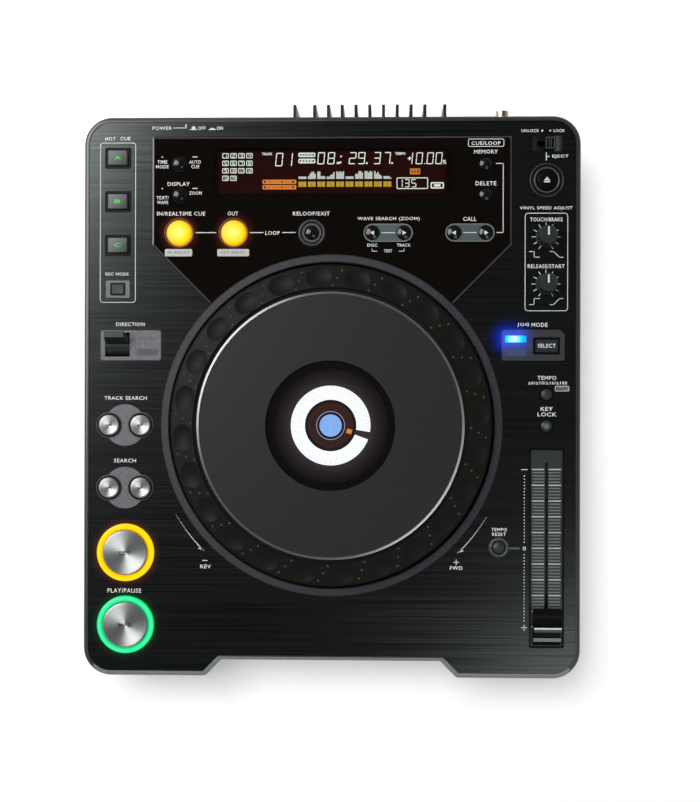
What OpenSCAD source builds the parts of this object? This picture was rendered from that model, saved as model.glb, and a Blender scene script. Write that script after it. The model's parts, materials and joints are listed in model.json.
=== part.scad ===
// Table-top disc player for disc jockeys.
// Millimetres. X runs to the right, Y to the rear, Z up from the table.

/* [Case] */
// Width of the case
case_w = 320; // [318:1:324]
// Depth over all, from the front edge to the tips of the heat sink
overall_d = 369; // [368:1:374]
// How far the heat sink stands out behind the case
fin_reach = 8.2; // [7:0.1:9]
// Radius of the case's four corners in plan
corner_r = 18; // [16:1:22]
// Height of the feet
foot_h = 8; // [6:0.5:8]
// Height of the joint between the lower and the upper case
split_z = 38; // [36:1:40]
// Height of the rim around the top panel
rim_z = 90; // [89.8:0.1:90.2]
// Width of the rim, which is the thickness of the side wall too
rim_w = 3.2; // [3:0.1:3.4]

/* [Hand recess and disc slot] */
// Half width of the recess at its inner edge
recess_in = 70.5; // [68:0.5:74]
// Depth of the recess, whose sides run out at 45 degrees
recess_d = 10.5; // [10:0.5:13]
// Height of the disc's path above the table
disc_z = 52; // [51:0.5:53]
// Width of the disc slot
slot_w = 126; // [124:1:128]
// Clear height of the disc slot
slot_h = 5.2; // [5:0.1:5.6]

/* [Top panel] */
// Thickness of the top panel
panel_t = 1.8; // [1.6:0.1:2]
// How far the panel lies below the rim
panel_drop = 0.6; // [0.4:0.1:0.8]
// Width of the display window
window_w = 232; // [230:1:234]
// Distance from the origin to the window's rear edge
window_y = 163.5; // [163:0.1:164.5]
// Thickness of the window
window_t = 1.2; // [1:0.1:1.4]

/* [Jog wheel] */
// Radius of the jog wheel
jog_r = 102.5; // [101:0.5:103]
// Number of finger dimples
dimples = 24; // [12:2:30]
// Height of the ring on the top plate, which is the highest point
overall_h = 105; // [104.6:0.1:105.4]
// Radius of the bearing post
post_r = 12; // [11:0.5:13]
// Radius of the clear lens
lens_r = 41; // [40:0.5:42]

/* [Keys] */
// Gap between a key and what surrounds it
key_gap = 0.4; // [0.35:0.05:0.5]
// Radius of the play and cue keys
play_r = 14.3; // [14:0.1:14.5]
// Radius of the search keys
search_r = 6.5; // [6:0.1:6.8]
// Radius of the small round keys
dome_r = 3.9; // [3.6:0.1:4]
// Radius of the lit loop keys
loop_r = 8.1; // [7.8:0.1:8.3]

/* [Tempo fader] */
// Travel of the fader
fader_travel = 100; // [90:1:100]
// Width of the fader's slot
fader_slot = 2.1; // [2:0.1:2.4]

/* [Hidden] */
$fn = 64;

// Case
front_y = -overall_d/2;
back_y = overall_d/2 - fin_reach;
recess_out = recess_in + recess_d;
panel_z = rim_z - panel_drop;
under_z = panel_z - panel_t;
ledge_t = 2;
ledge_w = 4.8;
shoulder_r = 2.4;
floor_t = 2.5;
lower_wall = 2.5;
chamfer = 6;
window_z = panel_z - 1;
fit_gap = 0.15;
rear_open_x = 139;
rear_open_z = [22, 84];

// Front corners of the recess, and the window's outline
recess_nose_r = 4.4;
recess_root_r = 1.5;
window_shoulder = 93.6;
window_foot = [78, 55.5];
screen = [156, 33];
screen_y = 140.8;

// Jog wheel
jog_at = [0.2, -22.5];
well_r = 104.7;
bezel_r = 110;
bezel_z = 91;
pan_z = 74;
plate_r = 84.7;
plate_z = overall_h - 0.6;
groove_w = 2.5;
bearing_gap = 0.05;
display_r = 38;
display_z = 97.6;
dimple_at = 94.3;
dimple_phase = 4.6;

// Places of the keys
hot_cue_x = -138.1;
hot_cue_y = [149.9, 121.7, 93.5];
hot_cue_size = [13.6, 9.9];
record_at = [-138, 65.1];
record_size = [7.6, 6];
time_at = [-98.2, 146];
display_at = [-98.2, 125.7];
memory_at = [98.9, 145.4];
delete_at = [98.9, 125.6];
row_y = 101.3;
loop_in_at = [-98.2, row_y];
loop_out_at = [-63, row_y];
reloop_at = [-12.6, row_y];
wave_at = [36.6, row_y];
call_at = [89, row_y];
pill = [31.5, 11.5];
pill_pitch = 20.2;
pill_key_r = 4.4;
eject_at = [137.9, 134.8];
eject_r = 6.3;
lock_at = [138.4, 158.4];
lock_recess = [21.3, 9.7];
lock_size = [6.6, 8.1];
lock_x = 139.9;
knob_x = 137.6;
knob_y = [98.6, 68.4];
jog_plate_at = [129.5, 29.15];
jog_plate_size = [40, 19.7];
jog_key_at = [138, 28.7];
jog_key_size = [14.2, 8.1];
lamp_x = 118.4;
lamp_y = [33.1, 24.4];
lamp_size = [13.8, 4.6];
tempo_x = 138;
tempo_y = [-2.4, -22.6];
tempo_r = 3.5;
reset_at = [107.8, -100.5];
reset_r = 3.8;
search_x = -133;
search_y = [-22.7, -63.1];
search_pitch = 20.4;
cue_at = [-132.6, -105];
play_at = [-132.5, -151.5];
glow_r = 18.5;

// Direction lever
lever_plate_at = [-129.4, 28.8];
lever_plate_size = [39, 19.2];
lever_at = [-138.1, 29.2];
lever_slot = [16.1, 15.4];
lever_z = 83;
lever_drum_r = 7.2;
lever_lean = 18;

// Tempo fader
fader_x = 138.4;
fader_y = [-164.7, -37.1];
fader_w = 22;
fader_floor_z = panel_z - 1.4;
fader_rest_y = -152;
fader_cap_w = 17.6;
fader_ends = [-10.7, 12.7];

// Rear
panel_back_y = back_y - rim_w;
fin_pitch = 8.9;
fin_x = 24.5;
fin_far = 48.4;
fin_t = 1.9;
fin_z = [25, 83];
fin_top_z = 87.5;
jack_x = 111;
jack_z = [72, 57, 42];
jack_end_y = back_y + 6.5;
control_at = [92, 64];
inlet_at = [-126, 50];
power_at = [-94, 66];

// Feet
foot_at = [128, 140];
foot_front_y = -150;

function wrap(a) = a > 180 ? a - 360 : a < -180 ? a + 360 : a;
function heading(a, b) = atan2(b.y - a.y, b.x - a.x);
function polar(r, a) = r*[cos(a), sin(a)];
function arc(c, r, a0, a1, n = 6) = [for (i = [0:n]) c + polar(r, a0 + (a1 - a0)*i/n)];

// Points of one corner of a closed path, rounded to a radius in a number of steps
function corner(p, r, before, after, steps) =
    let (
        a = heading(before, p),
        t = wrap(heading(p, after) - a),
        side = t > 0 ? 90 : -90,
        c = p - polar(r*tan(abs(t)/2), a) + polar(r, a + side)
    ) arc(c, r, a - side, a - side + t, steps);

// A closed path with all its corners rounded; a larger radius gets more steps
function rounded(path, radii, sizes = undef) =
    let (m = len(path), by = is_undef(sizes) ? radii : sizes) [
        for (i = [0:m - 1])
            each corner(path[i], radii[i], path[(i + m - 1) % m], path[(i + 1) % m],
                max(3, ceil(2.6*sqrt(by[i]))))
    ];

// The case in plan, shrunk by an inset, anticlockwise from the rear left corner;
// the recess sits in the middle of its front edge
function case_path(inset) =
    let (
        w = case_w/2 - inset,
        slip = inset*tan(22.5),
        f = front_y + inset,
        r = front_y + recess_d + inset,
        b = back_y - inset
    ) [
        [-w, b], [-w, f], [-recess_out - slip, f], [-recess_in - slip, r],
        [recess_in + slip, r], [recess_out + slip, f], [w, f], [w, b]
    ];
function case_radii(inset) =
    let (c = corner_r - inset, nose = recess_nose_r - inset, root = recess_root_r + inset)
    [c, c, nose, root, root, nose, c, c];
function case_outline(inset) = rounded(case_path(inset), case_radii(inset), case_radii(0));

// The same with a straight front edge
function plain_outline(inset) =
    let (w = case_w/2 - inset, f = front_y + inset, b = back_y - inset, c = corner_r - inset)
    rounded([[-w, b], [-w, f], [w, f], [w, b]], [c, c, c, c], corner_r*[1, 1, 1, 1]);

module plate(size, r) {
    w = size.x/2;
    h = size.y/2;
    polygon(rounded([[-w, h], [-w, -h], [w, -h], [w, h]], [r, r, r, r]));
}

// A closed wall lofted through outlines; heights holds one z for each outline
module loft_ring(outlines, heights) {
    n = len(outlines[0]);
    k = len(outlines);
    polyhedron(
        [for (i = [0:k - 1], q = outlines[i]) [q.x, q.y, heights[i]]],
        [for (i = [0:k - 1], j = [0:n - 1])
            let (up = (i + 1) % k, on = (j + 1) % n) [i*n + j, up*n + j, up*n + on, i*n + on]]
    );
}

module at_xy(p, z = 0) {
    translate([p.x, p.y, z]) children();
}

module each_of(list) {
    for (p = list) translate(concat(p, 0)) children();
}

// Places of keys by kind, shared by the panel, the window and the collars
small_domes = [time_at, display_at, memory_at, delete_at];
loop_keys = [loop_in_at, loop_out_at];
pills = [wave_at, call_at];
hot_cues = [for (y = hot_cue_y) [hot_cue_x, y]];
search_keys = [for (y = search_y, s = [-1, 1]) [search_x + s*search_pitch/2, y]];
big_keys = [cue_at, play_at];
tempo_keys = [for (y = tempo_y) [tempo_x, y]];
knobs = [for (y = knob_y) [knob_x, y]];

dome_collar_r = 4.9;
loop_collar_r = 9.7;
reloop_collar_r = 9.1;
reset_collar_r = 6.3;
tempo_collar_r = 4.9;
eject_collar_r = 10.8;
hot_cue_frame = [16.8, 13.4];
record_frame = [15.5, 11.2];

// Openings for the keys that sit in the display window
module window_holes() {
    each_of(small_domes) circle(dome_collar_r + fit_gap);
    each_of(loop_keys) circle(loop_collar_r + fit_gap);
    at_xy(reloop_at) circle(reloop_collar_r + fit_gap);
    each_of(pills) plate(pill + 2*fit_gap*[1, 1], pill.y/2);
}

module window_outline(grow = 0) {
    w = window_w/2 + grow;
    y = window_y + grow;
    slip = grow*tan(22.5);
    low = window_shoulder - slip;
    foot_x = window_foot.x + slip;
    foot_y = window_foot.y;
    difference() {
        polygon(rounded([[-w, y], [-w, low], [-foot_x, foot_y - grow], [-foot_x, foot_y - 20],
            [foot_x, foot_y - 20], [foot_x, foot_y - grow], [w, low], [w, y]],
            [3, 1, 1, 1, 1, 1, 1, 3]));
        at_xy(jog_at) circle(bezel_r + fit_gap, $fn = 180);
    }
}

module panel_holes() {
    window_holes();
    at_xy(jog_at) circle(bezel_r + fit_gap, $fn = 180);
    translate([0, screen_y]) square(screen, center = true);
    each_of(hot_cues) plate(hot_cue_frame + 2*fit_gap*[1, 1], 1);
    at_xy(record_at) plate(record_frame + 2*fit_gap*[1, 1], 1);
    each_of(big_keys) circle(glow_r + fit_gap);
    each_of(search_keys) circle(search_r + key_gap + 0.3);
    at_xy(lever_at) square(lever_slot, center = true);
    at_xy(eject_at) circle(eject_collar_r + fit_gap);
    at_xy(lock_at) plate(lock_recess + 2*fit_gap*[1, 1], 1);
    each_of(knobs) circle(4);
    at_xy(jog_key_at) square(jog_key_size + 3*key_gap*[1, 1], center = true);
    each_of(tempo_keys) circle(tempo_collar_r + fit_gap);
    at_xy(reset_at) circle(reset_collar_r + fit_gap);
    translate([fader_x, (fader_y[0] + fader_y[1])/2])
        plate([fader_w, fader_y[1] - fader_y[0]] + 2*fit_gap*[1, 1], 1);
}

// Pads under the panel's edge, along the straight runs of the walls
module ledge_pads() {
    bite = 0.6;
    d = ledge_w + bite;
    side_l = back_y - front_y - 2*corner_r - 8;
    wing_l = case_w/2 - corner_r - recess_out - 12;
    for (s = [-1, 1]) {
        translate([s*(case_w/2 - rim_w + bite - d/2), (front_y + back_y)/2, 0])
            cube([d, side_l, ledge_t], center = true);
        translate([s*(recess_out + 8 + wing_l/2), front_y + rim_w - bite + d/2, 0])
            cube([wing_l, d, ledge_t], center = true);
    }
    translate([0, front_y + recess_d + rim_w - bite + d/2, 0])
        cube([2*recess_in - 16, d, ledge_t], center = true);
    translate([0, back_y - rim_w + bite - d/2, 0])
        cube([case_w - 2*corner_r - 8, d, ledge_t], center = true);
}

// Upper case: side walls with a rounded shoulder, and the pads under the panel
module upper_case() {
    wall = concat(
        [[rim_w, split_z], [0, split_z]],
        [for (a = [0:22.5:90]) [shoulder_r*(1 - cos(a)), rim_z - shoulder_r*(1 - sin(a))]],
        [[rim_w, rim_z]]
    );
    color("#2b2d2f") difference() {
        union() {
            loft_ring([for (p = wall) case_outline(p[0])], [for (p = wall) p[1]]);
            translate([0, 0, under_z - ledge_t/2]) ledge_pads();
        }
        translate([-rear_open_x, back_y - 2*rim_w, split_z - 1])
            cube([2*rear_open_x, 4*rim_w, rear_open_z[1] - split_z + 1]);
        translate([-slot_bezel_w/2 - fit_gap, front_y, disc_z - slot_bezel_h/2 - fit_gap])
            cube([slot_bezel_w + 2*fit_gap, recess_d + 2*rim_w, slot_bezel_h + 2*fit_gap]);
    }
}

// Top panel: brushed plate with a pocket for the window and an opening for every control
module top_panel() {
    color("#26292a") difference() {
        translate([0, 0, under_z]) linear_extrude(panel_t) difference() {
            polygon(case_outline(rim_w + fit_gap));
            panel_holes();
        }
        translate([0, 0, window_z]) linear_extrude(panel_t) window_outline(fit_gap);
    }
}

module display_window() {
    color("#120d0c") translate([0, 0, window_z]) linear_extrude(window_t) difference() {
        window_outline();
        window_holes();
    }
}

// Lower case: a tray with chamfered lower edges, walls round the hand recess and vents below
module lower_case() {
    r = front_y + recess_d;
    wall = [[0, foot_h + chamfer], [0, split_z - 0.8], [1.2, split_z - 0.8], [1.2, split_z],
        [lower_wall, split_z], [lower_wall, foot_h + chamfer], [chamfer, foot_h + floor_t],
        [chamfer + 2, foot_h + floor_t], [chamfer + 2, foot_h], [chamfer, foot_h]];
    color("#232527") difference() {
        union() {
            difference() {
                union() {
                    loft_ring([for (p = wall) plain_outline(p[0])], [for (p = wall) p[1]]);
                    translate([0, 0, foot_h]) linear_extrude(floor_t)
                        polygon(plain_outline(chamfer + 1));
                }
                translate([0, 0, foot_h - 1]) linear_extrude(split_z)
                    polygon([[-recess_in, r], [recess_in, r], [recess_out + 9, front_y - 9],
                        [-recess_out - 9, front_y - 9]]);
            }
            translate([0, 0, foot_h]) linear_extrude(split_z - foot_h) intersection() {
                difference() {
                    polygon(case_outline(0));
                    polygon(case_outline(lower_wall));
                }
                translate([0, front_y + 10]) square([2*recess_out + 6, 26], center = true);
            }
        }
        rotate([90, 0, 90]) linear_extrude(2*recess_out + 8, center = true)
            polygon([[front_y - 1, foot_h + chamfer + 1], [front_y - 1, foot_h - 1],
                [front_y + chamfer + 1, foot_h - 1]]);
        translate([-rear_open_x, back_y - 2*lower_wall, rear_open_z[0]])
            cube([2*rear_open_x, 4*lower_wall, split_z]);
        for (i = [0:7], s = [-1, 1])
            translate([s*95, 20 + 9*i, foot_h + floor_t/2]) cube([52, 4, 2*floor_t], center = true);
    }
}

slot_bezel_w = slot_w + 12;
slot_bezel_h = 16;

// Surround of the disc slot, flared towards the user
module slot_bezel() {
    r = front_y + recess_d;
    depth = rim_w + 1;
    color("#141516") difference() {
        translate([-slot_bezel_w/2, r - 0.4, disc_z - slot_bezel_h/2])
            cube([slot_bezel_w, depth, slot_bezel_h]);
        translate([0, 0, disc_z]) rotate([90, 0, 90]) linear_extrude(slot_w, center = true)
            polygon([[r - 1, -slot_h/2 - 3.2], [r + 1.6, -slot_h/2], [r + 6, -slot_h/2],
                [r + 6, slot_h/2], [r + 1.6, slot_h/2], [r - 1, slot_h/2 + 3.2]]);
    }
}

// Rear panel, with openings for the heat sink, the sockets, the inlet and the power button
module rear_panel() {
    color("#2a2c2e") difference() {
        translate([-142, panel_back_y - 1.6, 18]) cube([284, 1.6, 67]);
        translate([fin_x - 55, panel_back_y - 4, fin_z[0] + 2])
            cube([110, 6, fin_z[1] - fin_z[0] - 4]);
        for (z = jack_z) translate([jack_x, panel_back_y, z])
            rotate([90, 0, 0]) cylinder(r = 5.2, h = 8, center = true);
        translate([control_at[0], panel_back_y, control_at[1]])
            rotate([90, 0, 0]) cylinder(r = 3.4, h = 8, center = true);
        translate([inlet_at[0], panel_back_y, inlet_at[1]]) cube([22.4, 8, 14.4], center = true);
        translate([power_at[0], panel_back_y, power_at[1]])
            rotate([90, 0, 0]) cylinder(r = 5.2, h = 8, center = true);
    }
}

// Heat sink: a flanged base with eleven upright fins, the outer two set apart for the screws;
// once clear of the case, each fin rises above the base
module heat_sink() {
    h = fin_z[1] - fin_z[0];
    root_y = panel_back_y + 2.6;
    step_y = back_y + 0.4;
    tip_y = overall_d/2;
    places = concat([for (i = [-4:4]) fin_x + fin_pitch*i], [fin_x - fin_far, fin_x + fin_far]);
    color("#1d1e1f") {
        difference() {
            translate([fin_x - 57, panel_back_y, fin_z[0]]) cube([114, 2.6, h]);
            for (s = [-1, 1], z = [fin_z[0] + 8, fin_z[1] - 8])
                translate([fin_x + s*42, panel_back_y - 1, z]) rotate([-90, 0, 0])
                    cylinder(r = 1.7, h = 5);
        }
        for (x = places) translate([x, 0, 0]) rotate([90, 0, 90])
            linear_extrude(fin_t, center = true)
            polygon([[root_y, fin_z[0]], [tip_y, fin_z[0]], [tip_y, fin_top_z - 1],
                [tip_y - 1, fin_top_z], [step_y, fin_top_z], [step_y, fin_z[1]],
                [root_y, fin_z[1]]]);
    }
}

module feet() {
    color("#1b1b1b") for (s = [-1, 1], y = [foot_at.y, foot_front_y])
        translate([s*foot_at.x, y, 0]) rotate_extrude()
            polygon([[0, 0], [11.5, 0], [12.5, 1], [13.5, foot_h], [4.5, foot_h], [4.5, 2.4],
                [0, 2.4]]);
}

// Screws of the feet, the heat sink and the rear panel
module case_screws() {
    rear = [[-134, 79], [-108, 26], [88, 79], [134, 79], [134, 26]];
    color("#8d9094") {
        for (s = [-1, 1], y = [foot_at.y, foot_front_y]) translate([s*foot_at.x, y, 2.4]) {
            cylinder(r = 3.2, h = 2);
            cylinder(r = 1.6, h = foot_h - 2.4);
        }
        for (s = [-1, 1], z = [fin_z[0] + 8, fin_z[1] - 8])
            translate([fin_x + s*42, panel_back_y + 2.6, z]) rotate([-90, 0, 0])
                cylinder(r = 3, h = 1.8);
        for (p = rear) translate([p[0], panel_back_y, p[1]]) rotate([-90, 0, 0])
            cylinder(r = 2.9, h = 1.6);
    }
}

// Phono sockets in a column, and the control socket, on one upright board
module jack_block() {
    inner_y = panel_back_y - 1.6;
    color("#c9a84e") {
        difference() {
            translate([86, inner_y - 12, 34]) cube([32, 12, 45]);
            translate([control_at[0], inner_y + 4, control_at[1]])
                rotate([90, 0, 0]) cylinder(r = 1.8, h = 14);
        }
        for (z = jack_z) translate([jack_x, 0, z]) rotate([-90, 0, 0]) difference() {
            translate([0, 0, inner_y]) cylinder(r = 4.15, h = jack_end_y - inner_y);
            translate([0, 0, inner_y + 3]) cylinder(r = 1.6, h = 20);
        }
        translate([control_at[0], 0, control_at[1]]) rotate([-90, 0, 0]) difference() {
            translate([0, 0, inner_y]) cylinder(r = 3.2, h = 3.6);
            translate([0, 0, inner_y - 1]) cylinder(r = 1.8, h = 8);
        }
    }
}

// Two-pole mains inlet with a figure-of-eight recess
module mains_inlet() {
    color("#171819") translate([inlet_at[0], 0, inlet_at[1]]) rotate([-90, 0, 0]) {
        difference() {
            translate([-11, -7, panel_back_y - 18]) cube([22, 14, 18.8]);
            translate([0, 0, panel_back_y - 13]) {
                for (s = [-1, 1]) translate([s*4.3, 0, 0]) cylinder(r = 4, h = 20);
                translate([-4.3, -3.9, 0]) cube([8.6, 7.8, 20]);
            }
        }
        for (s = [-1, 1]) translate([s*4.3, 0, panel_back_y - 13]) cylinder(r = 1.2, h = 11);
    }
}

// Jog base: the pan under the wheel, with the bezel at its rim and the bearing post
module jog_base() {
    color("#4c4c53") at_xy(jog_at) rotate_extrude($fn = 180) polygon([
        [8, pan_z], [well_r + 2.2, pan_z], [well_r + 2.2, under_z - 2.4],
        [bezel_r + 4, under_z - 2.4], [bezel_r + 4, under_z - 0.2], [bezel_r, under_z - 0.2],
        [bezel_r, bezel_z - 0.7], [bezel_r - 0.7, bezel_z], [well_r + 0.6, bezel_z],
        [well_r, bezel_z - 0.6], [well_r, pan_z + 2], [post_r + 4, pan_z + 2],
        [post_r + 4, pan_z + 4.6], [post_r, pan_z + 4.6], [post_r, 88.2], [8, 88.2]
    ]);
}

module jog_display() {
    color("#0c0c0d") at_xy(jog_at) rotate_extrude() polygon([
        [0, 88.2], [post_r, 88.2], [post_r, 90], [display_r, 90], [display_r, display_z],
        [0, display_z]
    ]);
}

// Jog wheel: hub, web and a shell whose sloping top carries the finger dimples
module jog_wheel() {
    hub_r = post_r + bearing_gap;
    lip_r = plate_r + groove_w;
    shell = 1.7;
    slope = atan2(3.2, jog_r - 1.5 - lip_r);
    color("#2e302c") at_xy(jog_at) difference() {
        rotate_extrude($fn = 180) polygon([
            [hub_r, 79], [hub_r + 3.5, 79], [hub_r + 3.5, 82], [lip_r + shell, 82],
            [lip_r + shell, 99.6], [jog_r - 2.8, 96.8], [jog_r - 2.8, 80], [jog_r, 80],
            [jog_r, 98.4], [jog_r - 0.5, 99.6], [jog_r - 1.5, 100.2], [lip_r + 0.5, 103.4],
            [lip_r, 102.9], [lip_r, 100.8], [80, 100.8], [80, 99.2], [lip_r - shell, 99.2],
            [lip_r - shell, 84.2], [hub_r + 3.5, 84.2], [hub_r + 3.5, 87.6], [hub_r, 87.6]
        ]);
        for (i = [0:dimples - 1]) rotate(dimple_phase + 360*i/dimples)
            translate([dimple_at, 0, 101.6]) rotate([0, slope, 0])
                translate([0, 0, dimple_ball - 1.3]) scale([1, 1.26, 1]) sphere(dimple_ball);
    }
}
dimple_ball = 15.5;

// Top plate of the wheel, which sinks a little when touched
module jog_top_plate() {
    color("#1e1d1f") at_xy(jog_at) rotate_extrude($fn = 180) polygon([
        [lens_r + 2.2, 101.6], [plate_r, 101.6], [plate_r, overall_h],
        [plate_r - 1.3, overall_h], [plate_r - 1.5, plate_z], [lens_r + 0.2, plate_z],
        [lens_r + 0.2, 103], [lens_r + 2.2, 103]
    ]);
}

module jog_lens() {
    color("#3a3a40", 0.5) at_xy(jog_at) rotate_extrude($fn = 180) polygon([
        [0, 101.8], [lens_r + 2, 101.8], [lens_r + 2, 102.9], [lens_r, 102.9],
        [lens_r, plate_z - 0.3], [0, plate_z - 0.3]
    ]);
}

// Translucent rings round the play and cue keys
module light_rings() {
    inner = play_r + key_gap;
    color("#b8e0c0") each_of(big_keys) rotate_extrude() polygon([
        [inner, under_z], [glow_r, under_z], [glow_r, panel_z + 0.9],
        [glow_r - 1.2, panel_z + 1.6], [inner + 0.8, panel_z + 1.6], [inner, panel_z + 1]
    ]);
}

// Grey plates of the search keys, each with two raised collars
module search_plates() {
    hole = search_r + key_gap;
    collar = search_r + 1.5;
    color("#6e6e76") for (y = search_y) translate([search_x, y, panel_z]) difference() {
        union() {
            cylinder(r = 13.4, h = 0.8);
            for (s = [-1, 1]) translate([s*search_pitch/2, 0, 0]) {
                cylinder(r = collar, h = 1.6);
                translate([0, 0, 1.6]) cylinder(r1 = collar, r2 = collar - 0.6, h = 0.5);
            }
        }
        for (s = [-1, 1]) translate([s*search_pitch/2, 0, -1]) cylinder(r = hole, h = 5);
    }
}

module direction_plate() {
    color("#6e6e76") difference() {
        at_xy(lever_plate_at, panel_z) linear_extrude(0.7) plate(lever_plate_size, 1.5);
        at_xy(lever_at, panel_z) cube(concat(lever_slot, 4), center = true);
    }
}

// Jog mode plate, with one corner cut off, two lamp windows and the key's opening
module jog_mode_plate() {
    s = jog_plate_size/2;
    color("#6e6e76") at_xy(jog_plate_at, panel_z) difference() {
        linear_extrude(0.7) polygon(rounded([[-s.x, s.y], [-s.x, -s.y], [s.x, -s.y],
            [s.x, s.y - 3], [s.x - 3, s.y]], [1.5, 1.5, 1.5, 0.5, 0.5]));
        at_xy(jog_key_at - jog_plate_at)
            cube(concat(jog_key_size + 2*key_gap*[1, 1], 4), center = true);
        for (y = lamp_y) translate([lamp_x - jog_plate_at.x, y - jog_plate_at.y, 0.7])
            cube(concat(lamp_size, 0.6), center = true);
    }
}

// Recessed scale plate of the fader
module fader_plate() {
    mid_y = (fader_y[0] + fader_y[1])/2;
    length = fader_y[1] - fader_y[0];
    color("#55555c") translate([fader_x, mid_y, 0]) difference() {
        translate([0, 0, fader_floor_z - 2]) linear_extrude(panel_z - fader_floor_z + 2)
            plate([fader_w, length], 1);
        translate([0, 0, fader_floor_z]) linear_extrude(4)
            plate([fader_w - 1.6, length - 1.6], 0.6);
        translate([0, fader_rest_y + fader_travel/2 - mid_y, fader_floor_z])
            cube([fader_slot, fader_travel + 12, 8], center = true);
    }
}

// Slide potentiometer under the scale plate
module fader_body() {
    mid_y = fader_rest_y + fader_travel/2;
    color("#9aa0a4") difference() {
        translate([fader_x, mid_y, 79]) cube([12, fader_travel + 24, 10], center = true);
        translate([fader_x, mid_y, 81]) cube([4, fader_travel + 14, 10], center = true);
    }
}

// Collar round a key; channels lists the inner and outer radii of the grooves in its top
module collar(p, r_out, r_in, rise, channels = []) {
    top = panel_z + rise;
    at_xy(p) difference() {
        rotate_extrude() polygon([
            [r_in, under_z], [r_out, under_z], [r_out, top - 0.3], [r_out - 0.3, top],
            [r_in + 0.5, top], [r_in, top - 0.5]
        ]);
        for (c = channels) rotate_extrude() translate([c[0], top - 0.5]) square([c[1] - c[0], 1]);
    }
}

// Collars and surrounds of the small keys, and the recess of the lock over its switch
module key_collars() {
    lock_slot_x = lock_x - 2.5 - lock_at.x;
    color("#3c3c42") {
        for (p = small_domes) collar(p, dome_collar_r, dome_r + key_gap, 0.9);
        for (p = loop_keys) collar(p, loop_collar_r, loop_r + key_gap, 0.9);
        for (p = tempo_keys) collar(p, tempo_collar_r, tempo_r + key_gap, 0.6);
        collar(reloop_at, reloop_collar_r, dome_r + key_gap, 1, [[6.1, 7.3], [8.4, 10]]);
        collar(reset_at, reset_collar_r, reset_r + key_gap, 1);
        collar(eject_at, eject_collar_r, eject_r + key_gap, 1.4, [[8.4, 10.3]]);
        for (p = hot_cues) at_xy(p, under_z) linear_extrude(panel_t + 0.5) difference() {
            plate(hot_cue_frame, 1);
            square(hot_cue_size + 2*key_gap*[1, 1], center = true);
        }
        at_xy(record_at, under_z) linear_extrude(panel_t + 0.5) difference() {
            plate(record_frame, 1);
            square(record_size + 2*key_gap*[1, 1], center = true);
        }
        for (p = pills) at_xy(p, under_z) difference() {
            linear_extrude(panel_t + 0.8) plate(pill, pill.y/2 - 0.05);
            for (s = [-1, 1]) translate([s*pill_pitch/2, 0, -1])
                cylinder(r = pill_key_r + key_gap, h = 8);
        }
        at_xy(lock_at, under_z) difference() {
            union() {
                linear_extrude(panel_t) plate(lock_recess, 1);
                translate([lock_slot_x, 0, -3.4]) cube([14, 6.4, 7.2], center = true);
            }
            translate([0, 0, panel_t - 0.8]) linear_extrude(2) plate(lock_recess - [1.6, 1.6], 0.8);
            translate([lock_slot_x, 0, 0]) cube([11, 3.2, 12], center = true);
        }
    }
}

// Fluorescent display: a glass tube on its board, behind the window
module display_module() {
    color("#1a1413") {
        translate([0, screen_y, 84]) cube([screen.x - 1, screen.y - 1, 6], center = true);
        translate([0, screen_y, 80.2]) cube([168, 38, 1.6], center = true);
        for (s = [-1, 1]) translate([s*81, screen_y, (81 + under_z)/2])
            cube([4, 30, under_z - 81], center = true);
    }
}

// Main board on its posts, with the larger packages
module main_board() {
    board_z = 18;
    color("#2c5a3a") {
        translate([-50, -20, board_z]) cube([190, 175, 1.6]);
        for (x = [-40, 130], y = [-10, 145]) translate([x, y, foot_h + floor_t])
            cylinder(r = 3.5, h = board_z - foot_h - floor_t);
        for (p = [[0, 90, 28], [50, 60, 22], [90, 100, 16], [20, 20, 18], [100, 20, 24]])
            translate([p[0], p[1], board_z + 1.6]) cube([p[2], p[2], 2.2]);
        for (i = [0:4]) translate([115, 70 + 14*i, board_z + 1.6]) cylinder(r = 4, h = 10);
    }
}

// Power supply: board, transformer with its winding, and two capacitors
module power_supply() {
    board_z = 15;
    color("#7a6a4a") {
        translate([-150, 55, board_z]) cube([90, 110, 1.6]);
        for (x = [-144, -66], y = [61, 159]) translate([x, y, foot_h + floor_t])
            cylinder(r = 3.5, h = board_z - foot_h - floor_t);
        translate([-140, 75, board_z + 1.6]) cube([52, 44, 36]);
        translate([-134, 69, board_z + 10]) cube([40, 56, 20]);
        for (x = [-80, -68], y = [80, 104]) translate([x, y, board_z + 1.6])
            cylinder(r = 5.5, h = 24);
    }
}

spindle_at = [0, front_y + recess_d + 12 + 60];

// Slot-loading drive: a frame with the disc's channel through it, on four legs
module disc_drive() {
    w = 148;
    y0 = front_y + recess_d + rim_w + 5.5;
    d = 132;
    low = disc_z - slot_h/2;
    high = disc_z + slot_h/2;
    color("#8b9095") difference() {
        union() {
            translate([-w/2, y0, low - 3]) cube([w, d, high - low + 6]);
            for (s = [-1, 1], y = [y0 + 10, y0 + d - 10])
                translate([s*(w/2 - 8), y, foot_h + floor_t])
                    cylinder(r = 4, h = low - 3 - foot_h - floor_t);
            at_xy(spindle_at, low - 12) cylinder(r = 20, h = 10);
        }
        translate([-slot_w/2, y0 - 1, low]) cube([slot_w, d - 4, high - low]);
        at_xy(spindle_at, low - 4.2) cylinder(r = 17, h = 8);
        at_xy(spindle_at, low - 20) cylinder(r = 1.5 + bearing_gap, h = 30);
        for (s = [-1, 1]) translate([s*40, spindle_at.y + 4, low - 3]) cube([18, 70, 12], center = true);
        at_xy(spindle_at, high - 1) cylinder(r = 24, h = 8);
    }
}

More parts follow.
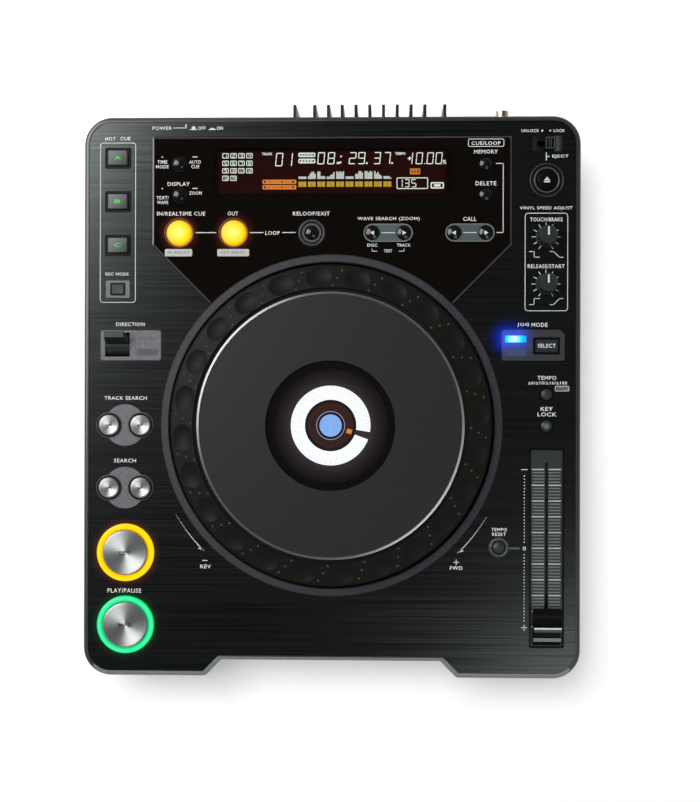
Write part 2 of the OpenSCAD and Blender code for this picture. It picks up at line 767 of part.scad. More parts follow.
module spindle() {
    low = disc_z - slot_h/2;
    color("#b9bec2") at_xy(spindle_at) rotate_extrude() polygon([
        [0, low - 16], [1.5, low - 16], [1.5, low - 3.6], [15, low - 3.6], [16, low - 2.8],
        [16, low - 1.2], [7.4, low - 1.2], [6.8, low - 0.3], [0, low - 0.3]
    ]);
}

// Fader knob: a stem, and a cap with a dish behind its ridge, a finger gap and a lip in front
module tempo_fader_knob() {
    z0 = fader_floor_z + 0.6;
    color("#17181a") translate([fader_x, fader_rest_y, z0]) {
        rotate([90, 0, 90]) linear_extrude(fader_cap_w, center = true) polygon(concat(
            [[fader_ends[0], 0], [fader_ends[1], 0], [fader_ends[1], 5.6],
                [fader_ends[1] - 0.7, 6.6]],
            arc([7.2, 16.6], 10.2, -66, -114, 6),
            [[1.7, 9.2], [-0.8, 9.2], [-1.4, 8.8], [-2.6, 3.8], [-5.1, 3.4], [-5.7, 4.6],
                [-8, 4.4], [fader_ends[0], 1.2]]));
        translate([0, 0, -5]) cube([1.2, 5, 10.2], center = true);
    }
}

// Rotary knob: shaft, skirt, fluted grip and a plain cap
module speed_knob(p) {
    flutes = 18;
    grip_z = panel_z + 2;
    top = panel_z + 14.4;
    color("#1d1e20") at_xy(p) {
        rotate_extrude() polygon([
            [0, under_z - 6], [3, under_z - 6], [3, panel_z + 0.5], [6.7, panel_z + 0.5],
            [6.7, panel_z + 1.4], [6.1, grip_z], [0, grip_z]
        ]);
        translate([0, 0, grip_z]) linear_extrude(top - 1.6 - grip_z) difference() {
            circle(6);
            for (i = [0:flutes - 1]) rotate(360*i/flutes) translate([6.2, 0]) circle(0.6, $fn = 16);
        }
        rotate_extrude() polygon([
            [0, top - 1.6], [5.5, top - 1.6], [5.5, top - 0.6], [4.9, top], [0, top]
        ]);
    }
}

// Direction lever: a drum that rocks under the plate, with a tapering paddle
module direction_lever() {
    w = lever_slot.x - 2*key_gap;
    color("#161716") at_xy(lever_at, lever_z) rotate([-lever_lean, 0, 0]) {
        rotate([0, 90, 0]) cylinder(r = lever_drum_r, h = w, center = true);
        rotate([90, 0, 0]) linear_extrude(4.2, center = true)
            polygon([[-w/2, 0], [w/2, 0], [w/2 - 0.4, 9], [6.1, 20], [-6.1, 20],
                [-w/2 + 0.4, 9]]);
    }
}

// Lock slider: ribbed knob on a stem
module eject_lock_slider() {
    floor_z = panel_z - 0.8;
    z0 = floor_z + 0.4;
    color("#101112") translate([lock_x, lock_at.y, 0]) difference() {
        union() {
            translate([0, 0, z0 + 1.6]) cube([lock_size.x, lock_size.y, 3.2], center = true);
            translate([0, 0, z0 - 3]) cube([2.2, 2.2, 7], center = true);
        }
        for (i = [-1:1]) translate([2*i, 0, z0 + 3.4]) cube([0.8, 20, 1], center = true);
    }
}

// Latching power button at the rear, shown pushed in
module power_button() {
    color("#151617") translate([power_at[0], 0, power_at[1]]) rotate([-90, 0, 0])
        rotate_extrude() polygon([
            [0, panel_back_y - 16], [3, panel_back_y - 16], [3, panel_back_y - 7],
            [4.8, panel_back_y - 7], [4.8, panel_back_y + 1.6], [4.2, panel_back_y + 2.2],
            [0, panel_back_y + 2.2]
        ]);
}

// Profile of a shallow dome from inside its edge to the axis; a rise below 0 makes a dish
function domed(r, z, rise, n = 4) =
    let (ball = (r*r + rise*rise)/(2*rise), span = asin(r/ball))
    [for (i = [1:n]) let (a = span*(1 - i/n)) [ball*sin(a), z + rise - ball*(1 - cos(a))]];

// Round key: domed cap with a retaining flange under the panel
module round_key(p, r, rise, dome = 0.4) {
    flange = under_z - key_gap - 1;
    top = panel_z + rise;
    edge = 0.6;
    at_xy(p) rotate_extrude() polygon(concat(
        [[0, flange - 3], [1.5, flange - 3], [1.5, flange], [r + 1, flange],
            [r + 1, flange + 1], [r, flange + 1]],
        arc([r - edge, top - edge], edge, 0, 70, 3),
        domed(r - edge, top, dome)));
}

// Key of turned metal: chamfered edge and a shallow dish
module metal_key(p, r, rise, dish) {
    flange = under_z - key_gap - 1;
    top = panel_z + rise;
    color("#c4c6c8") at_xy(p) rotate_extrude() polygon(concat(
        [[0, flange - 4], [2, flange - 4], [2, flange], [r - 0.3, flange],
            [r - 0.3, panel_z], [r, panel_z], [r, top - 0.7], [r - 0.7, top], [r - 1.3, top]],
        domed(r - 1.3, top, -dish)));
}

// Oblong key with a step round its top, which is dished for the finger
module square_key(p, size, rise) {
    flange = under_z - key_gap - 1;
    top = panel_z + rise;
    dish = 0.35;
    ball = 70;
    color("#202224") at_xy(p) difference() {
        union() {
            translate([0, 0, flange + 1]) linear_extrude(top - 0.7 - flange - 1) plate(size, 0.5);
            translate([0, 0, top - 0.7]) linear_extrude(0.7) plate(size - [0.8, 0.8], 0.5);
            translate([0, 0, flange]) linear_extrude(1) plate(size + [1.6, 1.6], 0.5);
            translate([0, 0, flange - 3]) cylinder(r = 1.5, h = 3);
        }
        translate([0, 0, top + ball - dish]) sphere(ball, $fn = 180);
    }
}

upper_case();
top_panel();
display_window();
lower_case();
slot_bezel();
rear_panel();
heat_sink();
feet();
case_screws();
jack_block();
mains_inlet();
jog_base();
jog_display();
light_rings();
search_plates();
direction_plate();
jog_mode_plate();
fader_plate();
fader_body();
key_collars();
display_module();
main_board();
power_supply();
disc_drive();
spindle();
jog_wheel();
jog_top_plate();
jog_lens();
tempo_fader_knob();
speed_knob(knobs[0]);  // brake_speed_knob
speed_knob(knobs[1]);  // start_speed_knob
direction_lever();
eject_lock_slider();
power_button();
square_key(hot_cues[0], hot_cue_size, 2);  // hot_cue_key_1
square_key(hot_cues[1], hot_cue_size, 2);  // hot_cue_key_2
square_key(hot_cues[2], hot_cue_size, 2);  // hot_cue_key_3
square_key(record_at, record_size, 1.6);  // record_mode_key
color("#0d0d0e") round_key(time_at, dome_r, 1.6, 0.9);  // time_mode_key
color("#0d0d0e") round_key(display_at, dome_r, 1.6, 0.9);  // display_mode_key
color("#f0b000") round_key(loop_in_at, loop_r, 2);  // loop_in_key
color("#f0b000") round_key(loop_out_at, loop_r, 2);  // loop_out_key
color("#0d0d0e") round_key(reloop_at, dome_r, 1.8, 0.9);  // reloop_key
color("#0d0d0e") round_key(wave_at - [pill_pitch/2, 0], pill_key_r, 1.8, 0.9);  // wave_back_key
color("#0d0d0e") round_key(wave_at + [pill_pitch/2, 0], pill_key_r, 1.8, 0.9);  // wave_forward_key
color("#0d0d0e") round_key(call_at - [pill_pitch/2, 0], pill_key_r, 1.8, 0.9);  // call_back_key
color("#0d0d0e") round_key(call_at + [pill_pitch/2, 0], pill_key_r, 1.8, 0.9);  // call_forward_key
color("#0d0d0e") round_key(memory_at, dome_r, 1.6, 0.9);  // memory_key
color("#0d0d0e") round_key(delete_at, dome_r, 1.6, 0.9);  // delete_key
color("#1a1b1d") round_key(eject_at, eject_r, 2.2);  // eject_key
square_key(jog_key_at, jog_key_size, 2);  // jog_mode_key
color("#0d0d0e") round_key(tempo_keys[0], tempo_r, 1.4, 0.7);  // tempo_range_key
color("#0d0d0e") round_key(tempo_keys[1], tempo_r, 1.4, 0.7);  // master_tempo_key
color("#0d0d0e") round_key(reset_at, reset_r, 1.8, 0.8);  // tempo_reset_key
metal_key(search_keys[0], search_r, 2.8, 0.3);  // track_back_key
metal_key(search_keys[1], search_r, 2.8, 0.3);  // track_forward_key
metal_key(search_keys[2], search_r, 2.8, 0.3);  // search_back_key
metal_key(search_keys[3], search_r, 2.8, 0.3);  // search_forward_key
metal_key(cue_at, play_r, 3.2, 0.6);  // cue_key
metal_key(play_at, play_r, 3.2, 0.6);  // play_key
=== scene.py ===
# %% [markdown]
# # A table-top disc player, dressed for its picture
# The solids come in as a fixed frame, each where it belongs. This lesson gives them finishes,
# prints their markings, lights the display and the keys, and sets up the studio. Lengths on the
# player are in millimetres, those of the studio in metres.

# %% Load the frame
import bpy, bmesh, json, math
from mathutils import Matrix, Vector


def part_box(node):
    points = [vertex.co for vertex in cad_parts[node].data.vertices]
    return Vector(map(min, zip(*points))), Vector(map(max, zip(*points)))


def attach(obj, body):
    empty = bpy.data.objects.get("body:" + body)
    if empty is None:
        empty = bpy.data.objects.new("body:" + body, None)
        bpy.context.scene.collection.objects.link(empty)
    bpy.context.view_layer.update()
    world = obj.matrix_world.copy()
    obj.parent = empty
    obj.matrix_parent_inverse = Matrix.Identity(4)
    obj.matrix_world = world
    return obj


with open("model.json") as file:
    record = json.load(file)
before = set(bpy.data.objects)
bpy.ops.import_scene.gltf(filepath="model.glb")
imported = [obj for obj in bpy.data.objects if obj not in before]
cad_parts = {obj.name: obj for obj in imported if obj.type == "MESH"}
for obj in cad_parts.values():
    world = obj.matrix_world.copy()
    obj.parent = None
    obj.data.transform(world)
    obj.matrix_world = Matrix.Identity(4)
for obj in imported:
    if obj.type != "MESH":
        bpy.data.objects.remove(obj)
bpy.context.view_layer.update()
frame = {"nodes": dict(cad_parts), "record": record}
nodes = frame["nodes"]
scene = bpy.context.scene
MM = 0.001

# %% [markdown]
# The camera looks straight down from 0.8 m over the panel, a little right of its middle and not
# quite level, as a hand-set tripod is. Its 64 mm lens takes in the case and a margin of floor.

# %% Camera
camera_data = bpy.data.cameras.new("overhead_camera")
camera_data.lens = 63.99
camera_data.sensor_width = 36
camera_data.sensor_fit = "HORIZONTAL"
camera_data.clip_end = 50
camera = bpy.data.objects.new("overhead_camera", camera_data)
camera.location = (0.0352, -0.0080, 0.8894)
camera.rotation_euler = [math.radians(a) for a in (0.087, 1.64, 0.138)]
scene.collection.objects.link(camera)
scene.camera = camera
print("camera at", tuple(camera.location))

# %% [markdown]
# Materials are graphs of nodes. Of three small helpers, one turns a colour picker's sRGB hex code
# into linear values, one adds a node with its settings, links and ramp stops, and one starts a
# material with an empty graph.

# %% Helpers for materials
def linear(code):
    parts = [int(code[i:i + 2], 16) / 255 for i in (1, 3, 5)]
    return (*[p / 12.92 if p <= 0.04045 else ((p + 0.055) / 1.055) ** 2.4 for p in parts], 1)


def add(tree, kind, inputs=None, stops=(), **settings):
    """Adds a node. An input is a value, a socket, or a node, which stands for its first output"""
    node = tree.nodes.new("ShaderNode" + kind)
    for name, value in settings.items():
        setattr(node, name, value)
    for i, (position, code) in enumerate(stops):
        stop = node.color_ramp.elements[i] if i < 2 else node.color_ramp.elements.new(1.0)
        stop.position = position
        stop.color = linear(code)
    for name, value in (inputs or {}).items():
        if isinstance(value, bpy.types.Node):
            value = value.outputs[0]
        if isinstance(value, bpy.types.NodeSocket):
            tree.links.new(value, node.inputs[name])
        else:
            node.inputs[name].default_value = value
    return node


def new_material(name):
    material = bpy.data.materials.new(name)
    material.use_nodes = True
    material.node_tree.nodes.clear()
    return material, material.node_tree


print("linear mid grey:", round(linear("#808080")[0], 3))

# %% [markdown]
# The floor is a wide sheet of matt white paper, curved up far away so that no edge shows from a
# low view. To the camera it also gives off a little light of its own, which lifts the open floor
# to pure white and leaves the player's soft shadow.

# %% Floor and studio
paper, tree = new_material("studio_paper")
ray = add(tree, "LightPath").outputs
seen = add(tree, "Math", {0: ray["Is Camera Ray"], 1: ray["Is Glossy Ray"]}, operation="MAXIMUM")
seen = add(tree, "Math", {0: seen, 1: ray["Is Transmission Ray"]}, operation="MAXIMUM")
lift = add(tree, "Math", {0: seen, 1: 0.36}, operation="MULTIPLY")
matt = add(tree, "BsdfDiffuse", {"Color": linear("#efefef")})
glow = add(tree, "Emission", {"Color": linear("#ffffff"), "Strength": lift})
add(tree, "OutputMaterial", {"Surface": add(tree, "AddShader", {0: matt, 1: glow})})

bm = bmesh.new()
profile = [(0.0, 0.0), (1.2, 0.0), (2.6, 0.0), (3.4, 0.12), (4.0, 0.6), (4.3, 1.4), (4.4, 3.2)]
line = [bm.verts.new((r, 0, z - 0.1 * MM)) for r, z in profile]
edges = [bm.edges.new(pair) for pair in zip(line, line[1:])]
bmesh.ops.spin(bm, geom=line + edges, cent=(0, 0, 0), axis=(0, 0, 1), angle=math.tau, steps=64,
               use_merge=True)
bmesh.ops.remove_doubles(bm, verts=bm.verts, dist=1e-5)
bmesh.ops.recalc_face_normals(bm, faces=bm.faces)
if next(iter(bm.faces)).normal.z < 0:
    bmesh.ops.reverse_faces(bm, faces=bm.faces)
sheet = bpy.data.meshes.new("studio_floor")
bm.to_mesh(sheet)
bm.free()
for polygon in sheet.polygons:
    polygon.use_smooth = True
sheet.materials.append(paper)
floor = bpy.data.objects.new("studio_floor", sheet)
scene.collection.objects.link(floor)
print("floor faces:", len(sheet.polygons))

# %% [markdown]
# What lights the object and what shines in it are kept apart. A soft sheet overhead does the
# lighting and casts the one short shadow; reflections don't show it, because over a glossy black
# window it would be a grey veil. Two soft boxes do the shining: a wide one up on the left, whose
# edge grazes the panel, and a small one on the right in front, for the opposite corner.

# %% Lamps
def soft_box(name, place, size, watts, colour, lights, shines):
    data = bpy.data.lights.new(name, "AREA")
    data.shape = "SQUARE"
    data.size = size
    data.energy = watts
    data.color = linear(colour)[:3]
    lamp = bpy.data.objects.new(name, data)
    lamp.location = place
    aim = Vector((0, 0, 0.08)) - Vector(place)
    lamp.rotation_euler = aim.to_track_quat("-Z", "Y").to_euler()
    lamp.visible_diffuse = lights
    lamp.visible_glossy = shines
    lamp.visible_camera = False
    scene.collection.objects.link(lamp)
    print(name, "at", place, "power", watts, "W")


soft_box("overhead_sheet", (-0.26, 0.40, 2.00), 0.7, 32, "#ffffff", True, False)
soft_box("left_soft_box", (-1.008, 0.55, 1.30), 1.2, 38, "#fffffc", False, True)
soft_box("front_soft_box", (0.418, -0.592, 1.30), 0.48, 1.9, "#fffffc", False, True)

world = bpy.data.worlds.new("studio_air")
scene.world = world
world.use_nodes = True
world.node_tree.nodes["Background"].inputs["Color"].default_value = linear("#ffffff")
world.node_tree.nodes["Background"].inputs["Strength"].default_value = 0.13
scene.view_settings.view_transform = "Standard"

# %% [markdown]
# ## Finishes of the case
# Most surfaces have a fine grain: spark-eroded ABS, enamel, plating, rubber. One recipe covers
# them. A noise in the player's own space, with grains of a size in millimetres, runs the colour
# from a darker to a brighter tone and gives the small bumps. The grains are 0.5 to 0.9 mm, coarser
# than the real 0.1 mm, so that they show at the picture's 0.6 mm pixels.

# %% Grained finishes
def grained(name, dark, bright, roughness, size=0.8, depth=0.01, ior=1.53, metallic=0.0, glow=None,
            strength=1.0):
    """A finish with grains; glow is the colour of a lamp or phosphor, mottled by the same grains"""
    material, tree = new_material(name)
    place = add(tree, "TexCoord").outputs["Object"]
    noise = add(tree, "TexNoise", {"Vector": place, "Scale": 1 / (size * MM)})
    values = {"Base Color": add(tree, "ValToRGB", {"Fac": noise}, [(0.3, dark), (0.7, bright)]),
              "Normal": add(tree, "Bump", {"Height": noise, "Distance": depth * MM}),
              "Roughness": roughness, "Metallic": metallic}
    if metallic < 0.5:
        values["IOR"] = ior
    if glow:
        dim = "#" + "".join("%02x" % int(int(glow[i:i + 2], 16) * 0.93) for i in (1, 3, 5))
        values["Emission Color"] = add(tree, "ValToRGB", {"Fac": noise}, [(0.3, dim), (0.6, glow)])
        values["Emission Strength"] = strength
    add(tree, "OutputMaterial", {"Surface": add(tree, "BsdfPrincipled", values)})
    return material


# The front shoulder's paler tone is a painted highlight of light from the front.
rim_painted_highlight = grained("moulded_abs_rim_painted_highlight", "#6c7276", "#868c90", 0.4)
case_abs = grained("moulded_abs_case", "#292a28", "#3a3b38", 0.28)
grey_abs = grained("flaked_abs_grey", "#48484e", "#6e6e78", 0.5, depth=0.02)
bezel_abs = grained("flaked_abs_bezel", "#0e0e12", "#36363f", 0.5, 0.9, 0.02, 1.45)
groove_abs = grained("matt_abs_grooves", "#050505", "#0b0b0c", 0.35, 0.8, 0.005, 1.2)
brown_abs = grained("moulded_abs_brown_edges", "#463f39", "#5a5048", 0.4)
collar_abs = grained("moulded_abs_collars", "#0a0b0b", "#121313", 0.35, ior=1.25)
ridge_abs = grained("moulded_abs_ridges", "#38393b", "#48484b", 0.35)
# The pinkish tone of the collars round the loop keys is painted amber light from them.
loop_collar_painted_light = grained("moulded_abs_edges_painted_amber_light", "#5a4038", "#80625a", 0.35)
pill_abs = grained("moulded_abs_pills", "#3e484a", "#4c585b", 0.4)
record_abs = grained("moulded_abs_record_frame", "#505356", "#62666a", 0.45)
scale_abs = grained("moulded_abs_scale", "#1d2124", "#262b2e", 0.4)
key_abs = grained("moulded_abs_keys", "#202426", "#2c3132", 0.34, ior=1.4)
black_abs = grained("moulded_abs_black_caps", "#060707", "#0c0d0e", 0.34, 0.8, 0.008, 1.18)
cap_abs = grained("moulded_abs_dished_caps", "#3c4042", "#4c5052", 0.3, 0.8, 0.008, 1.25)
select_abs = grained("moulded_abs_select_cap", "#262b2e", "#32383b", 0.4, 0.8, 0.008, 1.12)
grip_abs = grained("moulded_grip_plastic", "#131411", "#1a1b17", 0.5, 0.9, 0.008, 1.17)
print("moulded finishes:", [m.name for m in (case_abs, grey_abs, bezel_abs, collar_abs)])

# %% [markdown]
# Some finishes depend on how far a point is from a key or a lamp: its coordinates go through steps
# of vector arithmetic, and end in a length. Light from the lit keys lies on what is round them.
# Tracing so faint a glow takes long, so the finish gives it off: a helper fades a colour out over
# a reach in millimetres from the edge of a circle or a box.

# %% Distances, and light that spills round a lamp
ORIGIN = (0, 0, 0)


def distance(tree, *steps):
    away = add(tree, "TexCoord").outputs["Object"]
    for operation, value in (*steps, ("LENGTH", ORIGIN)):
        away = add(tree, "VectorMath", {0: away, 1: value}, operation=operation)
    return away.outputs["Value"]


def from_axis(tree, centre):
    return distance(tree, ("SUBTRACT", (centre.x, centre.y, 0)), ("MULTIPLY", (1, 1, 0)))


def spill(tree, centre, half, start, reach, code, strength, power=2.2):
    """Centre and half size of the lamp in mm; start is where the fade begins, from the half size"""
    away = distance(tree, ("SUBTRACT", (centre[0] * MM, centre[1] * MM, 0)), ("ABSOLUTE", ORIGIN),
                    ("SUBTRACT", (half[0] * MM, half[1] * MM, 1)), ("MAXIMUM", ORIGIN))
    fade = add(tree, "MapRange", {"Value": away, "From Min": start * MM, "To Min": 1, "To Max": 0,
                                  "From Max": (start + reach) * MM})
    fade = add(tree, "Math", {0: fade, 1: power}, operation="POWER")
    tint = [strength * part for part in linear(code)[:3]]
    return add(tree, "VectorMath", {0: tint, "Scale": fade}, operation="SCALE")


def centre_of(node):
    low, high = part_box(node)
    return (low + high) / 2


def top_of(node):
    """The middle of a solid and its highest level, in mm"""
    low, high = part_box(node)
    return (low.x + high.x) / 2 / MM, (low.y + high.y) / 2 / MM, high.z / MM


LOOP_KEYS = "loop_in_key", "loop_out_key"
HOT_KEYS = "hot_cue_key_1", "hot_cue_key_2", "hot_cue_key_3"
SEARCH_KEYS = "track_back_key", "track_forward_key", "search_back_key", "search_forward_key"
PAIRS = ("wave_back_key", "wave_forward_key"), ("call_back_key", "call_forward_key")
LAMP_AT, LAMP_HALF = (116.0, 33.4), (4.4, 2.0)
jog, play, cue = centre_of("jog_top_plate"), centre_of("play_key"), centre_of("cue_key")
print("cue key at", [round(v / MM, 1) for v in cue])

# %% [markdown]
# The panel is aluminium, brushed from side to side and anodised black. The dyed oxide drinks most
# of the light, and what is left is a soft mirror that shows the edges of the soft boxes as a sheen
# in two corners. The strands are drawn 0.5 mm wide and 130 mm long, and hardly differ. Round the
# cue and play rings and the blue lamp the panel gives off a painted glow.

# %% Brushed anodised aluminium
STRAND, STRETCH = 1 / 1.9, 250
panel_metal, tree = new_material("anodised_aluminium_brushed")
place = add(tree, "TexCoord").outputs["Object"]
strands = add(tree, "Mapping", {"Vector": place, "Scale": (1 / STRETCH, 1, 1)})
strands = add(tree, "TexNoise", {"Vector": strands, "Scale": 1 / (STRAND * MM), "Detail": 1.0})
# Painted glow of the cue and play rings and of the blue lamp lies on the panel.
light = spill(tree, cue.xy / MM, (0, 0), 18.5, 6, "#ff7000", 0.06)
for more in (spill(tree, play.xy / MM, (0, 0), 18.5, 6, "#00c850", 0.05),
             spill(tree, LAMP_AT, LAMP_HALF, 0, 18, "#0838ff", 1.2, 5)):
    light = add(tree, "VectorMath", {0: light, 1: more}, operation="ADD")
add(tree, "OutputMaterial", {"Surface": add(tree, "BsdfPrincipled", {
    "Base Color": add(tree, "ValToRGB", {"Fac": strands}, [(0.3, "#2b2f2e"), (0.7, "#474b4a")]),
    "Roughness": add(tree, "MapRange", {"Value": strands, "From Min": 0.3, "From Max": 0.7,
                                        "To Min": 0.2, "To Max": 0.215}),
    "Normal": add(tree, "Bump", {"Height": strands, "Distance": 0.0002 * MM}),
    "Metallic": 1.0, "Emission Color": light, "Emission Strength": 1.0})})
print("strand length in mm:", round(STRAND * STRETCH))

# %% [markdown]
# The display window is smoked acrylic, printed black on its back except over the display. A mask
# in the player's own coordinates fades in the clear field: there the sheet is mostly see-through,
# and elsewhere plain gloss black. Amber light from the loop keys lies round them. The lens of the
# jog wheel is thin and clear, and keeps its gloss.

# %% Smoked acrylic
SEE_THROUGH = 0.86
screen_y = centre_of("display_module").y / MM
window_acrylic, tree = new_material("smoked_acrylic_window")
place = add(tree, "TexCoord").outputs["Object"]
axes = add(tree, "SeparateXYZ", {0: place}).outputs
sides = []
for axis, middle, start, end in ((0, 0, 72.5, 77), (1, screen_y, 13.4, 15.8)):
    away = add(tree, "Math", {0: axes[axis], 1: middle * MM}, operation="SUBTRACT")
    away = add(tree, "Math", {0: away}, operation="ABSOLUTE")
    sides.append(add(tree, "MapRange", {"Value": away, "From Min": start * MM,
                                        "From Max": end * MM, "To Min": 1, "To Max": 0}))
clear = add(tree, "Math", {0: sides[0], 1: sides[1]}, operation="MULTIPLY")
cover = add(tree, "Math", {0: clear, 1: -SEE_THROUGH, 2: 1.0}, operation="MULTIPLY_ADD")
light = [spill(tree, centre_of(name).xy / MM, (0, 0), 9.4, 6, "#ff6a00", 0.055)
         for name in LOOP_KEYS]
light = add(tree, "VectorMath", {0: light[0], 1: light[1]}, operation="ADD")
add(tree, "OutputMaterial", {"Surface": add(tree, "BsdfPrincipled", {
    "Base Color": linear("#0a0503"), "Roughness": 0.06, "IOR": 1.3, "Alpha": cover,
    "Emission Color": light, "Emission Strength": 1.0})})

lens_acrylic, tree = new_material("clear_acrylic_lens")
add(tree, "OutputMaterial", {"Surface": add(tree, "BsdfPrincipled", {
    "Base Color": linear("#120c0c"), "Roughness": 0.05, "IOR": 1.49, "Alpha": 0.16})})
print("display centre y:", round(screen_y, 1), "mm")

# %% [markdown]
# The jog wheel's top plate has a lacquer with very fine sparkle, and a thin ring of it is turned
# bright. Turning leaves fine circles, and circles stretch a highlight into two fans. A metal's
# Anisotropic setting does just that: without a tangent it runs round the piece's middle, and a
# quarter turn lays the stretch across the circles.

# %% Jog plate and turned aluminium
jog_lacquer = grained("sparkle_lacquer", "#191818", "#272625", 0.45, 0.55, 0.008, 1.33)


def turned_aluminium(name, centre, pitch, dark, bright, roughness):
    material, tree = new_material(name)
    turns = add(tree, "Math", {0: from_axis(tree, centre), 1: 1 / (pitch * MM)},
                operation="MULTIPLY")
    grooves = add(tree, "TexNoise", {"W": turns, "Scale": 1.0}, noise_dimensions="1D")
    add(tree, "OutputMaterial", {"Surface": add(tree, "BsdfPrincipled", {
        "Base Color": add(tree, "ValToRGB", {"Fac": grooves}, [(0.3, dark), (0.7, bright)]),
        "Normal": add(tree, "Bump", {"Height": grooves, "Distance": 0.002 * MM}),
        "Metallic": 1.0, "Roughness": roughness, "Anisotropic": 0.85,
        "Anisotropic Rotation": 0.25})})
    return material


trim_metal = turned_aluminium("turned_aluminium_trim", jog, 0.5, "#b4b4b6", "#cacacc", 0.3)
edge_metal = grained("anodised_aluminium_edges", "#34343a", "#48484f", 0.3, 0.6, 0.002, 1.5, 0.2)

# %% [markdown]
# The small keys are gloss ABS domes. The loop keys are amber acrylic caps with a lamp beneath, and
# the rings round the cue and play keys are lit too. Light pools in the middle of such a piece, so
# the glow is a ramp on the distance from its centre.

# %% Gloss and lit plastics
gloss_abs = grained("gloss_abs_domes", "#0a0b0c", "#0e0f10", 0.12, 2.0, 0.0003, 1.42)
satin_abs = grained("satin_abs_domes", "#24272b", "#2c3034", 0.45, 2.0, 0.0005, 1.4)


def lit_plastic(name, centre, stops, strength=1.0, body="#201000"):
    """Translucent plastic lit from beneath: stops are (radius in mm, colour) from the middle out"""
    material, tree = new_material(name)
    reach = stops[-1][0]
    share = add(tree, "Math", {0: from_axis(tree, centre), 1: 1 / (reach * MM)},
                operation="MULTIPLY")
    light = add(tree, "ValToRGB", {"Fac": share}, [(r / reach, code) for r, code in stops])
    add(tree, "OutputMaterial", {"Surface": add(tree, "BsdfPrincipled", {
        "Base Color": linear(body), "Roughness": 0.3, "IOR": 1.3, "Emission Color": light,
        "Emission Strength": strength})})
    return material


amber = {name: lit_plastic("amber_acrylic_" + name, centre_of(name), [
    (0, "#fffe98"), (3.4, "#fff850"), (6.6, "#ffe600"), (7.7, "#ffc000"), (8.1, "#ff9800")])
    for name in LOOP_KEYS}
cue_glow = lit_plastic("yellow_acrylic_ring", cue, [
    (0, "#ffb000"), (14.9, "#ffb400"), (15.7, "#ffdc00"), (17.7, "#fff000"), (18.5, "#ffcc00")])
play_glow = lit_plastic("green_acrylic_ring", play, [
    (0, "#00b040"), (14.9, "#00c060"), (15.8, "#28f09c"), (17.1, "#4cffc4"), (18.1, "#18ec88"),
    (18.5, "#00cc58")], body="#003010")
# The black well round the display gives off a painted glow: the light of its white ring lying on
# it, fading outwards.
well_painted_glow = lit_plastic("matt_black_display_well_painted_glow", jog, [
    (0, "#383338"), (26, "#393438"), (31, "#221c1e"), (36, "#120e0e"), (40, "#080606")],
    body="#070606")
teal = lit_plastic("teal_acrylic_key", centre_of("master_tempo_key"), [
    (0, "#7c8c8a"), (1.4, "#5c6a6c"), (2.2, "#20282a"), (4.5, "#080a0a")], 0.6, "#24282c")
print("amber caps:", list(amber))

# %% [markdown]
# The grey flake of the mode plate gives off a painted glow of the blue lamp beside it. The lock's
# recess has painted shade and a painted highlight: a ramp along X darkens its floor on the left and
# lightens it right of the slider, as a dished floor would look.

# %% Plate under the blue lamp, and the lock's recess
mode_plate_painted_glow, tree = new_material("flaked_abs_mode_plate_painted_glow")
place = add(tree, "TexCoord").outputs["Object"]
flakes = add(tree, "TexNoise", {"Vector": place, "Scale": 1 / (0.8 * MM)})
add(tree, "OutputMaterial", {"Surface": add(tree, "BsdfPrincipled", {
    "Base Color": add(tree, "ValToRGB", {"Fac": flakes}, [(0.3, "#1a1d21"), (0.7, "#2c2f35")]),
    # The plate gives off a painted glow of the blue lamp, fading away from it.
    "Emission Color": spill(tree, LAMP_AT, LAMP_HALF, 0, 15, "#0c4cf0", 0.9, 3),
    "Emission Strength": 1.0, "Roughness": 0.5, "IOR": 1.53})})

# Painted shade on the left of the recess, and a painted highlight right of the slider.
lock_recess_painted_shade, tree = new_material("moulded_abs_lock_recess_painted_shade")
place = add(tree, "TexCoord").outputs["Object"]
along = add(tree, "MapRange", {"Value": add(tree, "SeparateXYZ", {0: place}),
                               "From Min": 128 * MM, "From Max": 149 * MM})
tone = add(tree, "ValToRGB", {"Fac": along}, [
    (0.0, "#0c0c0c"), (0.1, "#22221d"), (0.2, "#181815"), (0.3, "#070707"), (0.68, "#0c0c0e"),
    (0.74, "#54545b"), (0.86, "#3c3c42"), (0.96, "#121213")])
add(tree, "OutputMaterial", {"Surface": add(tree, "BsdfPrincipled", {
    "Base Color": tone, "Roughness": 0.35, "IOR": 1.25})})

# %% [markdown]
# The hot cue keys are wide dished caps of clear plastic over a grey film. Their tone is painted: a
# painted highlight at the upper left runs into painted shade at the lower right.

# %% Dished caps of the hot cue keys
def painted_shade_cap(name):
    material, tree = new_material("frosted_pc_painted_shade_" + name)
    place = add(tree, "TexCoord").outputs["Object"]
    away = add(tree, "VectorMath", {0: place, 1: centre_of(name)}, operation="SUBTRACT")
    slant = add(tree, "VectorMath", {0: away, 1: (1, -1, 0)}, operation="DOT_PRODUCT")
    share = add(tree, "MapRange", {"Value": slant.outputs["Value"], "From Min": -12 * MM,
                                   "From Max": 12 * MM})
    grain = add(tree, "TexNoise", {"Vector": place, "Scale": 1 / (0.8 * MM)})
    share = add(tree, "Math", {0: grain, 1: 0.3, 2: share}, operation="MULTIPLY_ADD")
    # The base colour runs from a painted highlight at the upper left to painted shade at the lower
    # right.
    add(tree, "OutputMaterial", {"Surface": add(tree, "BsdfPrincipled", {
        "Base Color": add(tree, "ValToRGB", {"Fac": share}, [(0.3, "#8a8b8c"), (1.0, "#474c4c")]),
        "Roughness": 0.4, "IOR": 1.12})})
    return material


DISH, SMALL_TURNED_DISH, TURNED_DISH = 0.35, 0.3, 0.6
print("dish of an oblong cap:", DISH, "mm")

# %% [markdown]
# What is left are the plain finishes of the back and the inside.

